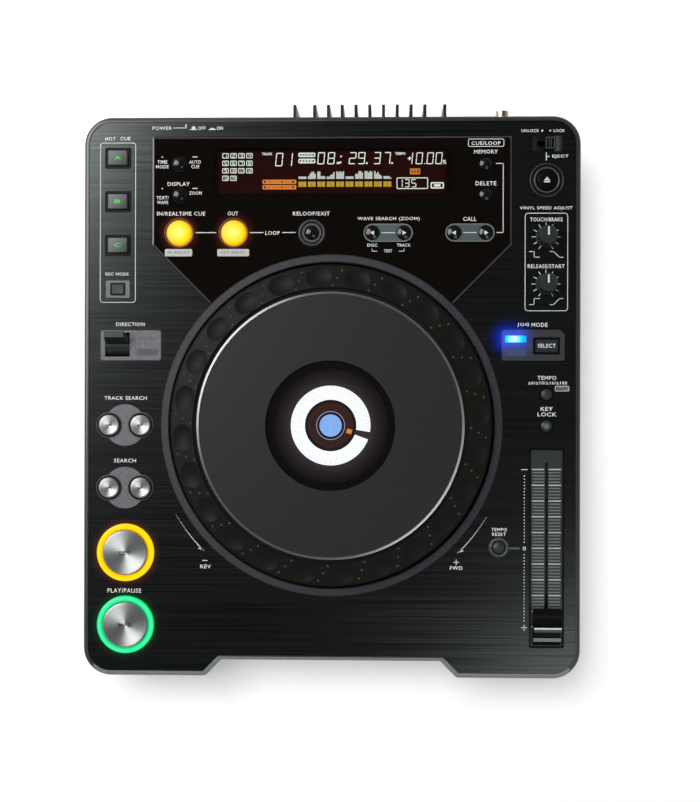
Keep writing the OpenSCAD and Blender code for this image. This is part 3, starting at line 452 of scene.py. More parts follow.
# %% Finishes of the back and the inside
rear_enamel = grained("enamelled_steel_rear", "#1e2022", "#26282a", 0.4, 1.0, ior=1.5)
fin_metal = grained("anodised_extrusion_fins", "#202122", "#2c2d2e", 0.42, 0.6, metallic=0.7)
foot_rubber = grained("moulded_rubber_feet", "#151515", "#1f1f1f", 0.75, 0.8, 0.03, 1.5)
screw_steel = grained("zinc_plated_steel", "#9a9da0", "#b8bbbe", 0.35, 1.0, metallic=1.0)
jack_plate = grained("nickel_plated_brass", "#a29c8c", "#c4beae", 0.28, 1.0, metallic=1.0)
inlet_pbt = grained("moulded_pbt_inlet", "#0f1011", "#191a1b", 0.5, 1.0, ior=1.5)
board_mask = grained("solder_mask_green", "#1f4a2c", "#2a5c38", 0.35, 2.0, ior=1.5)
iron_core = grained("varnished_laminations", "#5c4e3a", "#7a6a50", 0.5, 1.0, 0.01, 1.5, 0.3)
tube_black = grained("matt_black_tube", "#280d0b", "#34120f", 0.6, 1.0, 0.01, 1.08)

# %% Give the solids their finishes
for material, names in (
        (case_abs, "upper_case lower_case slot_bezel"), (panel_metal, "top_panel"),
        (window_acrylic, "display_window"), (rear_enamel, "rear_panel"), (fin_metal, "heat_sink"),
        (foot_rubber, "feet"), (screw_steel, "case_screws fader_body disc_drive spindle"),
        (jack_plate, "jack_block"), (inlet_pbt, "mains_inlet power_button"),
        (bezel_abs, "jog_base"), (grey_abs, "search_plates direction_plate"),
        (mode_plate_painted_glow, "jog_mode_plate"), (well_painted_glow, "jog_display"), (tube_black, "display_module"),
        (scale_abs, "fader_plate"), (collar_abs, "key_collars"), (board_mask, "main_board"),
        (iron_core, "power_supply"), (grip_abs, "jog_wheel"), (jog_lacquer, "jog_top_plate"),
        (lens_acrylic, "jog_lens"), (cue_glow, "light_rings"), (teal, "master_tempo_key"),
        (key_abs, "brake_speed_knob start_speed_knob direction_lever"),
        (black_abs, "tempo_fader_knob eject_lock_slider eject_key"), (cap_abs, "record_mode_key"),
        (select_abs, "jog_mode_key"), (satin_abs, "tempo_range_key tempo_reset_key"),
        (gloss_abs, "time_mode_key display_mode_key reloop_key memory_key delete_key"),
        (gloss_abs, " ".join(PAIRS[0] + PAIRS[1])),
        *[(painted_shade_cap(name), name) for name in HOT_KEYS],
        *[(material, name) for name, material in amber.items()],
        *[(turned_aluminium("turned_aluminium_" + name, centre_of(name), 0.35, "#9ea1a2",
                            "#b2b5b5", 0.44), name) for name in ("cue_key", "play_key",
                                                                 *SEARCH_KEYS)]):
    for name in names.split():
        nodes[name].data.materials.clear()
        nodes[name].data.materials.append(material)
print("dressed solids:", sum(1 for o in nodes.values() if o.data.materials))

# %% [markdown]
# A solid can carry several finishes, because each face of its mesh names a material slot. The top
# plate is bright outside a radius of 83 mm, the case's front shoulder is painted paler as a painted
# highlight, one light ring is green, and the collars, one moulding here, differ from key to key. A
# helper repaints the faces whose middles pass a test.

# %% Second finishes on solids of one piece
def repaint(name, material, chosen):
    mesh = nodes[name].data
    mesh.materials.append(material)
    count = 0
    for polygon in mesh.polygons:
        if chosen(polygon.center / MM):
            polygon.material_index = len(mesh.materials) - 1
            count += 1
    print(name, "faces in", material.name, count)


def ring_round(key, inner, outer):
    """A test: is a point within these two radii of a key?"""
    x, y, _ = centre_of(key) / MM
    return lambda p: inner <= math.hypot(p.x - x, p.y - y) <= outer


def within(x, y, half_x, half_y):
    """A test: is a point in a box round a place?"""
    return lambda p: abs(p.x - x) <= half_x and abs(p.y - y) <= half_y


def pair_middle(pair):
    back, ahead = (centre_of(name) / MM for name in pair)
    return ((back + ahead) / 2).xy


PILL = (31.5, 11.5)
LOCK_AT = (138.4, 158.4)
TRIM_FROM = 83.05
jog_mm, panel_z = jog / MM, top_of("top_panel")[2]
repaint("jog_top_plate", trim_metal, lambda p: (p - jog_mm).xy.length > TRIM_FROM)
repaint("upper_case", rim_painted_highlight, lambda p: p.y < -171.5 and p.z > 87.6 and abs(p.x) < 153)
repaint("light_rings", play_glow, lambda p: p.y < (play.y + cue.y) / 2 / MM)
for name in SEARCH_KEYS:
    repaint("search_plates", groove_abs, ring_round(name, 0, 7.6))
    repaint("search_plates", brown_abs, ring_round(name, 7.6, 8.05))
for name, material, inner, outer in (
        ("loop_in_key", loop_collar_painted_light, 8.8, 9.8), ("loop_out_key", loop_collar_painted_light, 8.8, 9.8),
        ("reloop_key", ridge_abs, 4.9, 6.15), ("reloop_key", ridge_abs, 7.25, 8.45),
        ("eject_key", ridge_abs, 7.3, 8.45), ("eject_key", ridge_abs, 10.25, 11),
        ("tempo_reset_key", record_abs, 5.0, 6.5)):
    repaint("key_collars", material, ring_round(name, inner, outer))
repaint("key_collars", record_abs, within(*top_of("record_mode_key")[:2], 8, 6))
for name in HOT_KEYS:
    repaint("key_collars", groove_abs, within(*top_of(name)[:2], 9, 7))
for pair in PAIRS:
    repaint("key_collars", pill_abs, within(*pair_middle(pair), PILL[0] / 2, PILL[1] / 2))
    for name in pair:
        repaint("key_collars", groove_abs, ring_round(name, 0, 4.95))
repaint("key_collars", lock_recess_painted_shade, within(*LOCK_AT, 11, 5))

# %% [markdown]
# The tempo fader's cap is dark too; the upper faces at the front of its ridge and on its lip are
# painted grey, a painted highlight. The rim round the fader's scale is black.

# %% Cap of the fader, with painted highlights
fader_x, knob_y, KNOB_HALF = top_of("fader_plate")[0], -152, 8.7
ridge_painted_highlight = grained("moulded_abs_fader_ridge_painted_highlight", "#393e3f", "#484e4f", 0.4, ior=1.4)
lip_painted_highlight = grained("moulded_abs_fader_lip_painted_highlight", "#666c6e", "#7a8082", 0.4, ior=1.4)
# Painted highlights on the top of the ridge and of the lip.
for material, level, front, back in ((ridge_painted_highlight, 92, -2.7, 1.75), (lip_painted_highlight, 92.9, -8.1, -5.4)):
    repaint("tempo_fader_knob", material, lambda p: abs(p.x - fader_x) < KNOB_HALF
            and p.z > level and front < p.y - knob_y < back)
repaint("fader_plate", groove_abs, lambda p: p.z > panel_z - 1.3)

# %% [markdown]
# ## Printed markings
# Lines, frames and words are screen printed. Each is a flat figure a few hundredths of a
# millimetre thick, drawn from a bmesh grid whose corners are bevelled and whose face is extruded.
# The figures of one ink on one level are one piece: a list that gives, for each figure, the
# function that draws it and its measures.

# %% Helpers for flat figures
INK, SIGN, SINK = 0.04, 0.1, 0.02
window_z = top_of("display_window")[2]


def thicken(bm, faces, rise):
    top = bmesh.ops.extrude_face_region(bm, geom=faces)["geom"]
    bmesh.ops.translate(bm, vec=(0, 0, rise),
                        verts=[v for v in top if isinstance(v, bmesh.types.BMVert)])


def sheet_of(bm, z, x0, y0, x1, y1, corner=0.0, turn=0.0, segments=3):
    """A flat rectangle, its corners rounded, turned about its middle"""
    place = (Matrix.Translation(((x0 + x1) / 2, (y0 + y1) / 2, z)) @ Matrix.Rotation(turn, 4, "Z")
             @ Matrix.Diagonal((x1 - x0, y1 - y0, 1, 1)))
    verts = bmesh.ops.create_grid(bm, x_segments=1, y_segments=1, size=0.5, matrix=place)["verts"]
    if corner:
        verts = bmesh.ops.bevel(bm, geom=verts, offset=corner, offset_type="OFFSET",
                                segments=segments, affect="VERTICES", profile=0.5,
                                material=-1)["verts"]
    return verts[0].link_faces[0]


def block(bm, z, x0, y0, x1, y1, corner=0.0, rise=INK, turn=0.0):
    thicken(bm, [sheet_of(bm, z, x0, y0, x1, y1, corner, turn)], rise)


def spot(bm, z, x, y, half_x, half_y, *more):
    """A block that is measured from its middle"""
    block(bm, z, x - half_x, y - half_y, x + half_x, y + half_y, *more)


def outline(bm, z, x0, y0, x1, y1, width, corner, segments=3):
    """The line round a rectangle"""
    face = sheet_of(bm, z, x0, y0, x1, y1, corner, segments=segments)
    rim = bmesh.ops.inset_region(bm, faces=[face], thickness=width, use_boundary=True,
                                 use_even_offset=True)["faces"]
    bmesh.ops.delete(bm, geom=[face], context="FACES_ONLY")
    thicken(bm, rim, INK)


def figure(bm, z, points, rise=INK):
    """A flat figure with straight edges"""
    thicken(bm, [bm.faces.new([bm.verts.new((x, y, z)) for x, y in points])], rise)


def stroke(bm, z, points, width=0.45):
    """A line through points, in blocks that overlap at its corners"""
    for (x0, y0), (x1, y1) in zip(points, points[1:]):
        run = math.hypot(x1 - x0, y1 - y0) + width
        spot(bm, z, (x0 + x1) / 2, (y0 + y1) / 2, run / 2, width / 2, 0, INK,
             math.atan2(y1 - y0, x1 - x0))


def polar(centre, radius, degrees):
    a = math.radians(degrees)
    return centre[0] + radius * math.cos(a), centre[1] + radius * math.sin(a)


def turned(bm, z, centre, profile, steps=48):
    """A closed profile of (radius, height) points turned about an upright axis"""
    verts = [bm.verts.new((centre[0] + r, centre[1], z + up)) for r, up in profile]
    ends = zip(range(len(profile)), [*range(1, len(profile)), 0])
    edges = [bm.edges.new((verts[i], verts[j])) for i, j in ends
             if profile[i][0] > 0 or profile[j][0] > 0]
    bmesh.ops.spin(bm, geom=verts + edges, cent=(*centre, 0), axis=(0, 0, 1), angle=math.tau,
                   steps=steps, use_merge=True)
    bmesh.ops.remove_doubles(bm, verts=bm.verts, dist=0.0002)


def ring(bm, z, centre, inner, outer, tall, steps=48):
    turned(bm, z, centre, [(inner, 0), (outer, 0), (outer, tall), (inner, tall)], steps)


# %% Pieces of the player
def add_piece(name, bm, material, body="root", smooth=False):
    """Makes a bmesh drawn in millimetres a piece of the player"""
    loose = [edge for edge in bm.edges if not edge.link_faces]
    bmesh.ops.delete(bm, geom=loose, context="EDGES")
    bmesh.ops.recalc_face_normals(bm, faces=bm.faces)
    open_edges = sum(1 for e in bm.edges if len(e.link_faces) != 2)
    bmesh.ops.scale(bm, vec=(MM, MM, MM), verts=bm.verts)
    mesh = bpy.data.meshes.new(name)
    bm.to_mesh(mesh)
    bm.free()
    for polygon in mesh.polygons:
        polygon.use_smooth = smooth
    mesh.materials.append(material)
    piece = bpy.data.objects.new(name, mesh)
    scene.collection.objects.link(piece)
    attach(piece, body)
    print(name, "faces:", len(mesh.polygons), "open edges:", open_edges)


def drawn(name, material, z, figures, body="root", smooth=False,
          middle=(0, 0)):
    """One piece of figures on the level z, measured from a middle"""
    bm = bmesh.new()
    for draw, *measures in figures:
        draw(bm, z, *measures)
    bmesh.ops.translate(bm, vec=(*middle, 0), verts=bm.verts)
    add_piece(name, bm, material, body, smooth)


# %% [markdown]
# Screen ink is a thin, matt coat: one more grained finish, with hardly any depth.

# %% Printing inks
def ink(name, dark, bright):
    return grained("screen_ink_" + name, dark, bright, 0.5, 0.6, 0.002, 1.5)


white_ink = ink("white", "#ccd1cf", "#e2e6e4")
word_ink = ink("white_words", "#f2f5f4", "#ffffff")
dim_ink = ink("dark_grey", "#43474a", "#50585a")
black_ink = ink("black", "#161618", "#1c1c1e")
print("inks:", white_ink.name, dim_ink.name, black_ink.name)

# %% [markdown]
# A text object gives the letters of a word, a little bolder and wider apart than the font has
# them. Its mesh is then fitted into the box that the word fills: left, right, base and top.

# %% Words on the panel and the window
def word_table(text):
    rows = [line.rsplit(None, 4) for line in text.split("\n")]
    return [(word, *map(float, box)) for word, *box in rows]


PANEL_WORDS = word_table("""\
POWER -115.9 -103.3 168 170.3
HOT -146.5 -139.8 161.3 163.6
CUE -136.7 -130.1 161.3 163.6
OFF -86.3 -81.4 167.9 170.2
ON -74.2 -70.2 167.9 170.2
REC MODE -146 -131.1 73.9 75.9
UNLOCK 121.8 133.1 165.7 167.6
LOCK 142.3 149.5 165.7 167.6
EJECT 141.5 151.9 148.8 151.2
VINYL SPEED ADJUST 120.9 154.5 115.6 118.1
TOUCH/BRAKE 127.5 148.2 108.5 111
RELEASE/START 126 149.5 78.5 81
JOG 119.4 127 40.9 43.5
MODE 128.5 138.8 40.9 43.5
DIRECTION -139.1 -120.5 41.3 43.6
TRACK SEARCH -146.7 -119.1 -6.4 -4.1
SEARCH -140.3 -126 -46.9 -44.5
PLAY/PAUSE -144.3 -122.4 -131.1 -128.3
REV -84.2 -77.2 -115 -112.6
FWD 76.7 84.8 -115 -112.7
TEMPO 132.4 144.4 7 9.5
±6/±10/±16/±100 126.5 151.2 4 6
KEY 134.4 142.2 -12.8 -10.4
LOCK 132.5 144.5 -16.4 -13.9
TEMPO 103.1 113 -90.1 -88
RESET 103.6 112.5 -93.1 -91
0 123.2 125.2 -102.3 -99.8""")
WINDOW_WORDS = word_table("""\
TIME -112.5 -106.1 146.1 148.3
MODE -113.4 -105.2 143.1 145.3
AUTO -91.9 -84.4 146.1 148.3
CUE -90.6 -85.3 143.1 145.3
DISPLAY -105.9 -91.6 131.8 134.2
TEXT/ -113.1 -105.1 123.1 125.2
WAVE -112.7 -105.5 120.1 122.2
ZOOM -91.9 -83.8 126 128.2
IN/REALTIME CUE -112.7 -81.5 112.6 115.1
OUT -66.9 -60.2 112.6 115.1
LOOP -42.5 -33.2 100.1 102.5
RELOOP/EXIT -24.8 -1 112.5 115
WAVE SEARCH (ZOOM) 16.7 56.8 108.8 111.5
DISC 23.2 29.7 92.4 94.4
TRACK 42.2 51 92.4 94.4
TEXT 33.9 39.1 88.7 90.7
CUE/LOOP 89.9 108.5 157.6 159.9
MEMORY 91.5 106.7 152 154.5
DELETE 92.5 105.8 131.6 134.2
CALL 84.7 93.1 108.9 111.4""")


def letters(name, words, z, material, body="root", rise=INK, ball=0,
            bold=0.004):
    """One piece of words, each fitted into its box: left, right, base and top. On a dished cap
    they follow the radius of the dish, ball; bold is what the strokes gain on each side"""
    bm = bmesh.new()
    for word, left, right, base, top in words:
        text = bpy.data.curves.new("word", "FONT")
        text.body = word
        text.resolution_u = 2
        text.offset = bold
        text.space_character = 1.1
        text.extrude = 0.05
        holder = bpy.data.objects.new("word", text)
        scene.collection.objects.link(holder)
        bpy.context.view_layer.update()
        mesh = holder.to_mesh()
        fit = Matrix.Identity(4)
        for i, (start, end) in enumerate(((left, right), (base, top), (z, z + rise))):
            low, high = (f(v.co[i] for v in mesh.vertices) for f in (min, max))
            fit[i][i] = (end - start) / (high - low)
            fit[i][3] = start - low * fit[i][i]
        mesh.transform(fit)
        bm.from_mesh(mesh)
        holder.to_mesh_clear()
        bpy.data.objects.remove(holder)
        bpy.data.curves.remove(text)
    bmesh.ops.remove_doubles(bm, verts=bm.verts, dist=0.0002)
    if ball:
        x, y = (left + right) / 2, (base + top) / 2
        for vert in bm.verts:
            vert.co.z += ((vert.co.x - x) ** 2 + (vert.co.y - y) ** 2) / (2 * ball)
    add_piece(name, bm, material, body)


letters("panel_words", PANEL_WORDS, panel_z, word_ink)
letters("window_words", WINDOW_WORDS, window_z, word_ink)
letters("wide_word", [("WIDE", 144.6, 151.8, 0.5, 2.4)], panel_z,
        ink("straw", "#9a926e", "#b8b090"))

# %% [markdown]
# Next come the frames round groups of controls, the connecting lines, and the small signs: a
# pressed and a released button beside the power words, and the curves beside the speed knobs.

# %% White lines and signs on the panel
drawn("panel_lines", white_ink, panel_z, [
    (outline, -149.8, 56.4, -126.5, 159.9, 0.45, 2), (outline, 124.1, 51.0, 151.7, 114.0, 0.45, 2),
    (outline, 143.6, -0.3, 152.5, 3.1, 0.4, 0.6), (stroke, [(-102.3, 169.3), (-94.0, 169.3)]),
    (block, -94.5, 169.0, -93.6, 171.7), (block, -91.6, 167.9, -87.0, 168.5),
    (block, -90.3, 168.5, -88.0, 170.2), (block, -79.4, 167.9, -74.7, 168.5),
    (block, -78.3, 168.5, -75.8, 169.2), (spot, 135.1, 166.65, 0.55, 0.55, 0.4),
    (spot, 140.2, 166.65, 0.55, 0.55, 0.4), (block, 137.4, 147.6, 138.0, 152.6),
    (block, 138.0, 149.8, 139.8, 150.4),
    (stroke, [(127.2, 89.2), (130.1, 89.2), (130.1, 85.6), (133.3, 85.6)]),
    (stroke, [(140.2, 89.2), (142.3, 89.2), (146.4, 85.5), (148.5, 85.5)]),
    (stroke, [(127.1, 55.2), (130.1, 55.2), (130.1, 59.1), (133.4, 59.1)]),
    (stroke, [(140.3, 55.2), (142.5, 55.2), (146.3, 59.1), (148.5, 59.1)])])

# %% Scales of the speed knobs and of the tempo fader
marks = [(spot, *polar(top_of(knob), 7.7, degrees), 1.4, 0.22, 0, INK, math.radians(degrees))
         for knob in ("brake_speed_knob", "start_speed_knob") for degrees in range(-60, 241, 30)]
marks += [(spot, 124.175, y, 0.375, 0.36, 0.25) for y in (-54.6 - i * 2.017 for i in range(47))
          if abs(y + 101.1) > 2.6]
drawn("knob_and_fader_marks", white_ink, panel_z, marks + [
    (block, 122.1, -50.8, 126.2, -50.3), (block, 122.4, -152.0, 126.1, -151.5),
    (block, 124.0, -153.6, 124.5, -149.9)])
drawn("tempo_reset_line", dim_ink, panel_z, [(stroke, [(115.1, -101.0), (120.6, -100.95)], 1.3)])

# %% [markdown]
# Two arrows beside the wheel say which way it speeds a track up or slows it down. Each is a line
# that swells along an arc and ends in half a barb, on its outer side.

# %% Arrows beside the jog wheel
shares = [i / 16 for i in range(17)]
arrows = []
for start, way in ((209.9, 1), (-30.4, -1)):
    outer = [polar(jog_mm, 115.75, start + way * 14.4 * t) for t in shares]
    inner = [polar(jog_mm, 115.65 - 0.5 * t, start + way * 14.4 * t) for t in shares]
    barb = [polar(jog_mm, r, start + way * a)
            for r, a in ((115.1, 14.9), (117.3, 12.9), (115.75, 13.2), (115.1, 13.4))]
    arrows += [(figure, outer + inner[::-1]), (figure, barb)]
drawn("wheel_arrows", white_ink, panel_z, arrows + [
    (block, -83.0, -110.2, -79.4, -109.7), (block, 78.9, -110.45, 82.5, -109.95),
    (block, 80.45, -112.0, 80.95, -108.4)])

# %% [markdown]
# The glossy window carries its own print: thin lines between the loop keys, the bracket that joins
# the memory keys, and two label plates under the loop keys. A thin bright frame runs just inside
# its edge on all sides but that of the wheel.

# %% Lines on the window
dashes = [(spot, *box) for y in (150.5, 130.15)
          for box in ((-109.4, y, 0.5, 0.4, 0.35), (-88.05, y, 1.65, 0.3))]
drawn("window_lines", white_ink, window_z, dashes + [
    (block, -87.7, 101.3, -74.3, 101.85), (block, -52.5, 101.3, -43.7, 101.85),
    (block, -31.8, 101.3, -23.0, 101.85), (outline, 87.7, 156.4, 110.8, 161.6, 0.45, 1),
    (stroke, [(105.8, 145.7), (110.2, 145.7), (110.2, 101.4), (106.3, 101.4)], 0.5),
    (stroke, [(26.3, 90.9), (26.3, 89.5), (29.3, 89.5)], 0.4),
    (stroke, [(43.6, 89.5), (46.9, 89.5), (46.9, 90.9)], 0.4)])
drawn("window_label_plates", ink("plates", "#aab0ad", "#c9cdc9"), window_z, [
    (block, -107.6, 86.3, -89.8, 91.0, 0.9), (block, -73.6, 86.3, -53.0, 91.0, 0.9)])
letters("window_plate_words", [("IN ADJUST", -105.6, -91.6, 87.6, 89.6),
                               ("OUT ADJUST", -71.4, -55.2, 87.6, 89.6)],
        window_z + INK, ink("black_words", "#3e413f", "#4a4d4b"))

# %% Bright frame of the window
bm = bmesh.new()
corners = [(-78.2, 55.9), (-115.7, 93.6), (-115.7, 163.2), (115.7, 163.2), (115.7, 93.6),
           (78.2, 55.9)]
face = bm.faces.new([bm.verts.new((x, y, window_z)) for x, y in corners])
bm.normal_update()
rim = bmesh.ops.inset_region(bm, faces=[face], thickness=1.0, use_boundary=True,
                             use_even_offset=True)["faces"]
inside = {(round(vert.co.x, 1), round(vert.co.y, 1)) for vert in face.verts}
lowest = min(rim, key=lambda f: f.calc_center_median().y)
rim.remove(lowest)
print("frame sides:", len(rim))
bmesh.ops.delete(bm, geom=[face, lowest], context="FACES_ONLY")
thicken(bm, rim, 0.05)
for vert in bm.verts:
    if vert.co.z > window_z + 0.01 and (round(vert.co.x, 1), round(vert.co.y, 1)) in inside:
        vert.co.z += 0.36
add_piece("window_frame_line", bm, edge_metal)

# %% [markdown]
# ## The keys' own signs
# Arrows and bars on the key tops ride on their keys and are measured from the key's middle. The
# oblong caps are dished by 0.35 mm, and the turned caps of the cue, play and search keys by 0.3 to
# 0.6 mm, so their signs start that far below the rim.

# %% Helpers for signs
def body_of(node):
    return next(n for n, held in frame["record"]["behaviour"]["bodies"].items() if node in held)


def arrow(bm, z, x, y, size, way, tall):
    """A triangle that points left or right"""
    figure(bm, z, [(x - way * size / 2, y - tall / 2), (x + way * size / 2, y),
                   (x - way * size / 2, y + tall / 2)], SIGN)


def on_key(key, suffix, material, depth, figures):
    x, y, z = top_of(key)
    drawn(key + suffix, material, z - depth, figures, body_of(key), middle=(x, y))


def key_word(key, suffix, word, box, material, depth, rise, ball=0, bold=0.004):
    x, y, z = top_of(key)
    left, right, base, top = box
    letters(key + suffix, [(word, x + left, x + right, y + base, y + top)], z - depth, material,
            body_of(key), rise, ball, bold)


# %% Signs on the domed and the dished keys
for pair in PAIRS:
    for name, way in zip(pair, (-1, 1)):
        on_key(name, "_arrow", white_ink, 0.08,
               [(arrow, 0.3 * way, -0.3, 2.6, way, 2.8)])
on_key("eject_key", "_sign", white_ink, 0.06, [
    (figure, [(-2.0, -0.5), (2.0, -0.5), (0, 1.9)], SIGN),
    (block, -2.0, -1.7, 2.0, -0.9, 0, SIGN)])

green_glow = grained("green_lamp_letter", "#001800", "#002400", 0.5, 1.2, 0, 1.5, glow="#12d63c")
for name, letter in zip(HOT_KEYS, "ABC"):
    key_word(name, "_letter", letter, (-2.1, 2.1, -1.2, 1.2), green_glow, DISH + SINK,
             0.07, bold=0.02)
    on_key(name, "_edge", groove_abs, 0, [
        (spot, -6.35, 0, 0.4, 4.9), (spot, 6.35, 0, 0.4, 4.9), (spot, 0, -4.72, 6.75, 0.18),
        (spot, 0, 4.72, 6.75, 0.18)])
key_word("jog_mode_key", "_word", "SELECT", (-5.7, 5.7, -1.2, 1.3), word_ink, DISH + SINK,
         0.07, 70)

# %% Signs on the turned keys
for name, way in zip(SEARCH_KEYS, (-1, 1, -1, 1)):
    first = -1.1 if name.startswith("track") else -0.75
    sign = [(arrow, way * (first + 1.5 * i), 0, 1.5, way, 1.5) for i in (0, 1)]
    if name.startswith("track"):
        sign.append((spot, way * 1.35, 0, 0.15, 0.75, 0, SIGN))
    on_key(name, "_sign", black_ink, SMALL_TURNED_DISH + SINK, sign)
on_key("play_key", "_sign", black_ink, TURNED_DISH + SINK, [
    (arrow, -2.3, 0, 4.2, 1, 2.4), (block, 1.9, -1.3, 2.9, 1.3, 0, SIGN),
    (block, 3.5, -1.3, 4.5, 1.3, 0, SIGN)])
key_word("cue_key", "_word", "CUE", (-3.9, 3.9, -1.4, 1.4), black_ink, TURNED_DISH + SINK,
         0.1)

# %% [markdown]
# The pills round the search and call keys stand 0.8 mm over the panel. Each has a thin light
# border and a line between its keys. The search plates have a narrow brown step round each
# collar, and the plates on the two sides a dark seam.

# %% Borders, and the knobs' pointers
def footprint(node, margin):
    low, high = (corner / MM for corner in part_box(node))
    return low.x - margin, low.y - margin, high.x + margin, high.y + margin


collar_z = panel_z + 0.8
half_x, half_y = PILL[0] / 2, PILL[1] / 2
middles = [pair_middle(pair) for pair in PAIRS]
drawn("pill_lines", white_ink, collar_z, [(spot, *middle, 4.3, 0.25) for middle in middles])
drawn("pill_borders", ink("mid_grey", "#687275", "#7a8588"), collar_z, [
    (outline, x - half_x, y - half_y, x + half_x, y + half_y, 0.5, half_y - 0.06, 12)
    for x, y in middles])
drawn("search_collar_steps", brown_abs, panel_z, [
    (ring, top_of(name)[:2], 7.95, 8.4, 0.84) for name in SEARCH_KEYS])
drawn("lever_plate_seam", black_ink, panel_z, [
    (outline, *footprint("direction_plate", 0.4), 0.4, 1.6)])
drawn("jog_mode_key_border", groove_abs, top_of("jog_mode_plate")[2], [
    (outline, 129.4, 23.15, 146.6, 34.25, 1.1, 0.8)])
drawn("record_key_border", groove_abs, panel_z + 0.5, [
    (outline, -4.95, -4.15, 4.95, 4.15, 0.9, 0.8)],
    middle=top_of("record_mode_key")[:2])
left, front, right, back = footprint("eject_lock_slider", 0)
drawn("lock_slider_ribs", dim_ink, top_of("eject_lock_slider")[2], [
    (outline, *footprint("eject_lock_slider", -0.4), 0.45, 0.6),
    *[(block, x - 0.15, front + 1.3, x + 0.15, back - 1.3)
      for x in (left + share * (right - left) for share in (0.4, 0.6))]],
    body_of("eject_lock_slider"))
for name in ("brake_speed_knob", "start_speed_knob"):
    on_key(name, "_pointer", white_ink, 0, [(block, -0.55, -0.6, 0.55, 4.8, 0.4)])

# %% [markdown]
# Half-round beads run round the eject, reloop and reset keys and catch the lamps as crescents.
# Each is half a circle turned about the key's middle.

# %% Beads on the collars
beads = []
for name, inner, outer, rise in (
        ("eject_key", 7.3, 8.3, 1.4), ("reloop_key", 7.35, 8.3, 1.0),
        ("tempo_reset_key", 5.0, 6.0, 1.0), ("eject_key", 10.2, 10.7, 1.4),
        ("loop_in_key", 8.95, 9.55, 0.9), ("loop_out_key", 8.95, 9.55, 0.9)):
    half = (outer - inner) / 2
    arch = [((inner + outer) / 2 + half * math.cos(a), rise + half * math.sin(a))
            for a in (math.pi * k / 6 for k in range(7))]
    beads.append((turned, top_of(name)[:2], arch, 64))
drawn("collar_beads", ridge_abs, panel_z, beads, smooth=True)

# %% [markdown]
# The plate of the direction lever has two unlit marks and a faint word, which only show when the
# lamps behind them are on.

# %% Unlit marks on the lever's plate
faint_ink = ink("faint", "#3c3c42", "#47474e")
lever_z = top_of("direction_plate")[2]
letters("direction_plate_word", [("FWD", -123.5, -113.9, 31.9, 34.5)], lever_z, faint_ink)
drawn("direction_plate_marks", faint_ink, lever_z, [
    (block, -125.4, 22.2, -111.4, 26.6, 0.4), (spot, -127.7, 33.3, 0.5, 0.5, 0.35),
    (spot, -127.7, 24.2, 0.5, 0.5, 0.35)])

# %% [markdown]
# ## The fader's scale
# A hundred millimetres of travel is marked by eleven long lines, with four short ones in each gap.
# The slot for the knob's stem runs between the two columns.

# %% Scale of the tempo fader
for name, long, outer, half, tone in (
        ("fader_scale_long", True, 9.3, 0.4, ink("scale", "#a4aaa8", "#c0c6c4")),
        ("fader_scale_short", False, 8.9, 0.38, ink("scale_dim", "#626a68", "#747c7a"))):
    drawn(name, tone, panel_z - 1.4, [
        (spot, fader_x + side * (outer + 1.35) / 2, -50.5 - 2.02 * i, (outer - 1.35) / 2, half)
        for i in range(51) if (i % 5 == 0) == long for side in (-1, 1)])
x, y, z = top_of("tempo_fader_knob")
drawn("fader_knob_line", ink("bright", "#d2d4d2", "#e8e8e8"), z, [
    (block, x - KNOB_HALF, knob_y + 0.6, x + KNOB_HALF, knob_y + 1.65)],
    body_of("tempo_fader_knob"))

# %% [markdown]
# ## The fluorescent display
# Behind the smoked window, phosphor figures glow on the glass of the tube: a grid of track boxes,
# the track number, the time, the tempo, a small wave and a bar of cue marks. The figures are made
# of seven bars each, as on any such display.

# %% Phosphor figures
BARS = {"0": "abcdef", "1": "bc", "2": "abdeg", "3": "abcdg", "4": "bcfg", "5": "acdfg",
        "6": "acdefg", "7": "abc", "8": "abcdefg", "9": "abcdfg"}
TUBE_Z = 87.05


def phosphor(name, code, strength):
    return grained(name, "#0c0c0c", "#101010", 0.5, 1.2, 0, 1.5, glow=code, strength=strength)


def tube(name, material, figures, z=TUBE_Z):
    drawn(name, material, z, figures)


def seven_bars(bm, z, sign, left, base, wide, tall, bar=0.55):
    """One figure of up to seven bars"""
    gap = bar * 0.35
    right, top, mid = left + wide, base + tall, base + tall / 2
    boxes = {"a": (left + bar, top - bar, right - bar, top),
             "b": (right - bar, mid + gap, right, top - gap),
             "c": (right - bar, base + gap, right, mid - gap),
             "d": (left + bar, base, right - bar, base + bar),
             "e": (left, base + gap, left + bar, mid - gap),
             "f": (left, mid + gap, left + bar, top - gap),
             "g": (left + bar, mid - bar / 2, right - bar, mid + bar / 2)}
    for key in BARS[sign]:
        block(bm, z, *boxes[key])


boxes = []
for i in range(14):
    x, y = -70.8 + 5.16 * (i % 4), 153.3 - 4.84 * (i // 4)
    boxes.append((outline, x, y - 3.35, x + 4.15, y, 0.5, 0.5))
    if i < 9:
        boxes.append((seven_bars, str(i + 1), x + 1.3, y - 2.75, 1.6, 2.1, 0.36))
    else:
        boxes += [(seven_bars, sign, x + 0.75 + 1.4 * k, y - 2.75, 1.2, 2.1, 0.34)
                  for k, sign in enumerate(str(i + 1))]
tube("tube_track_boxes", phosphor("phosphor_white_boxes", "#e6f2e4", 1.3), boxes)

# %% Slanted figures of the tube
def lean(bm, z, share, level):
    """Slants all that is drawn so far"""
    for vert in bm.verts:
        vert.co.x += share * (vert.co.y - level)


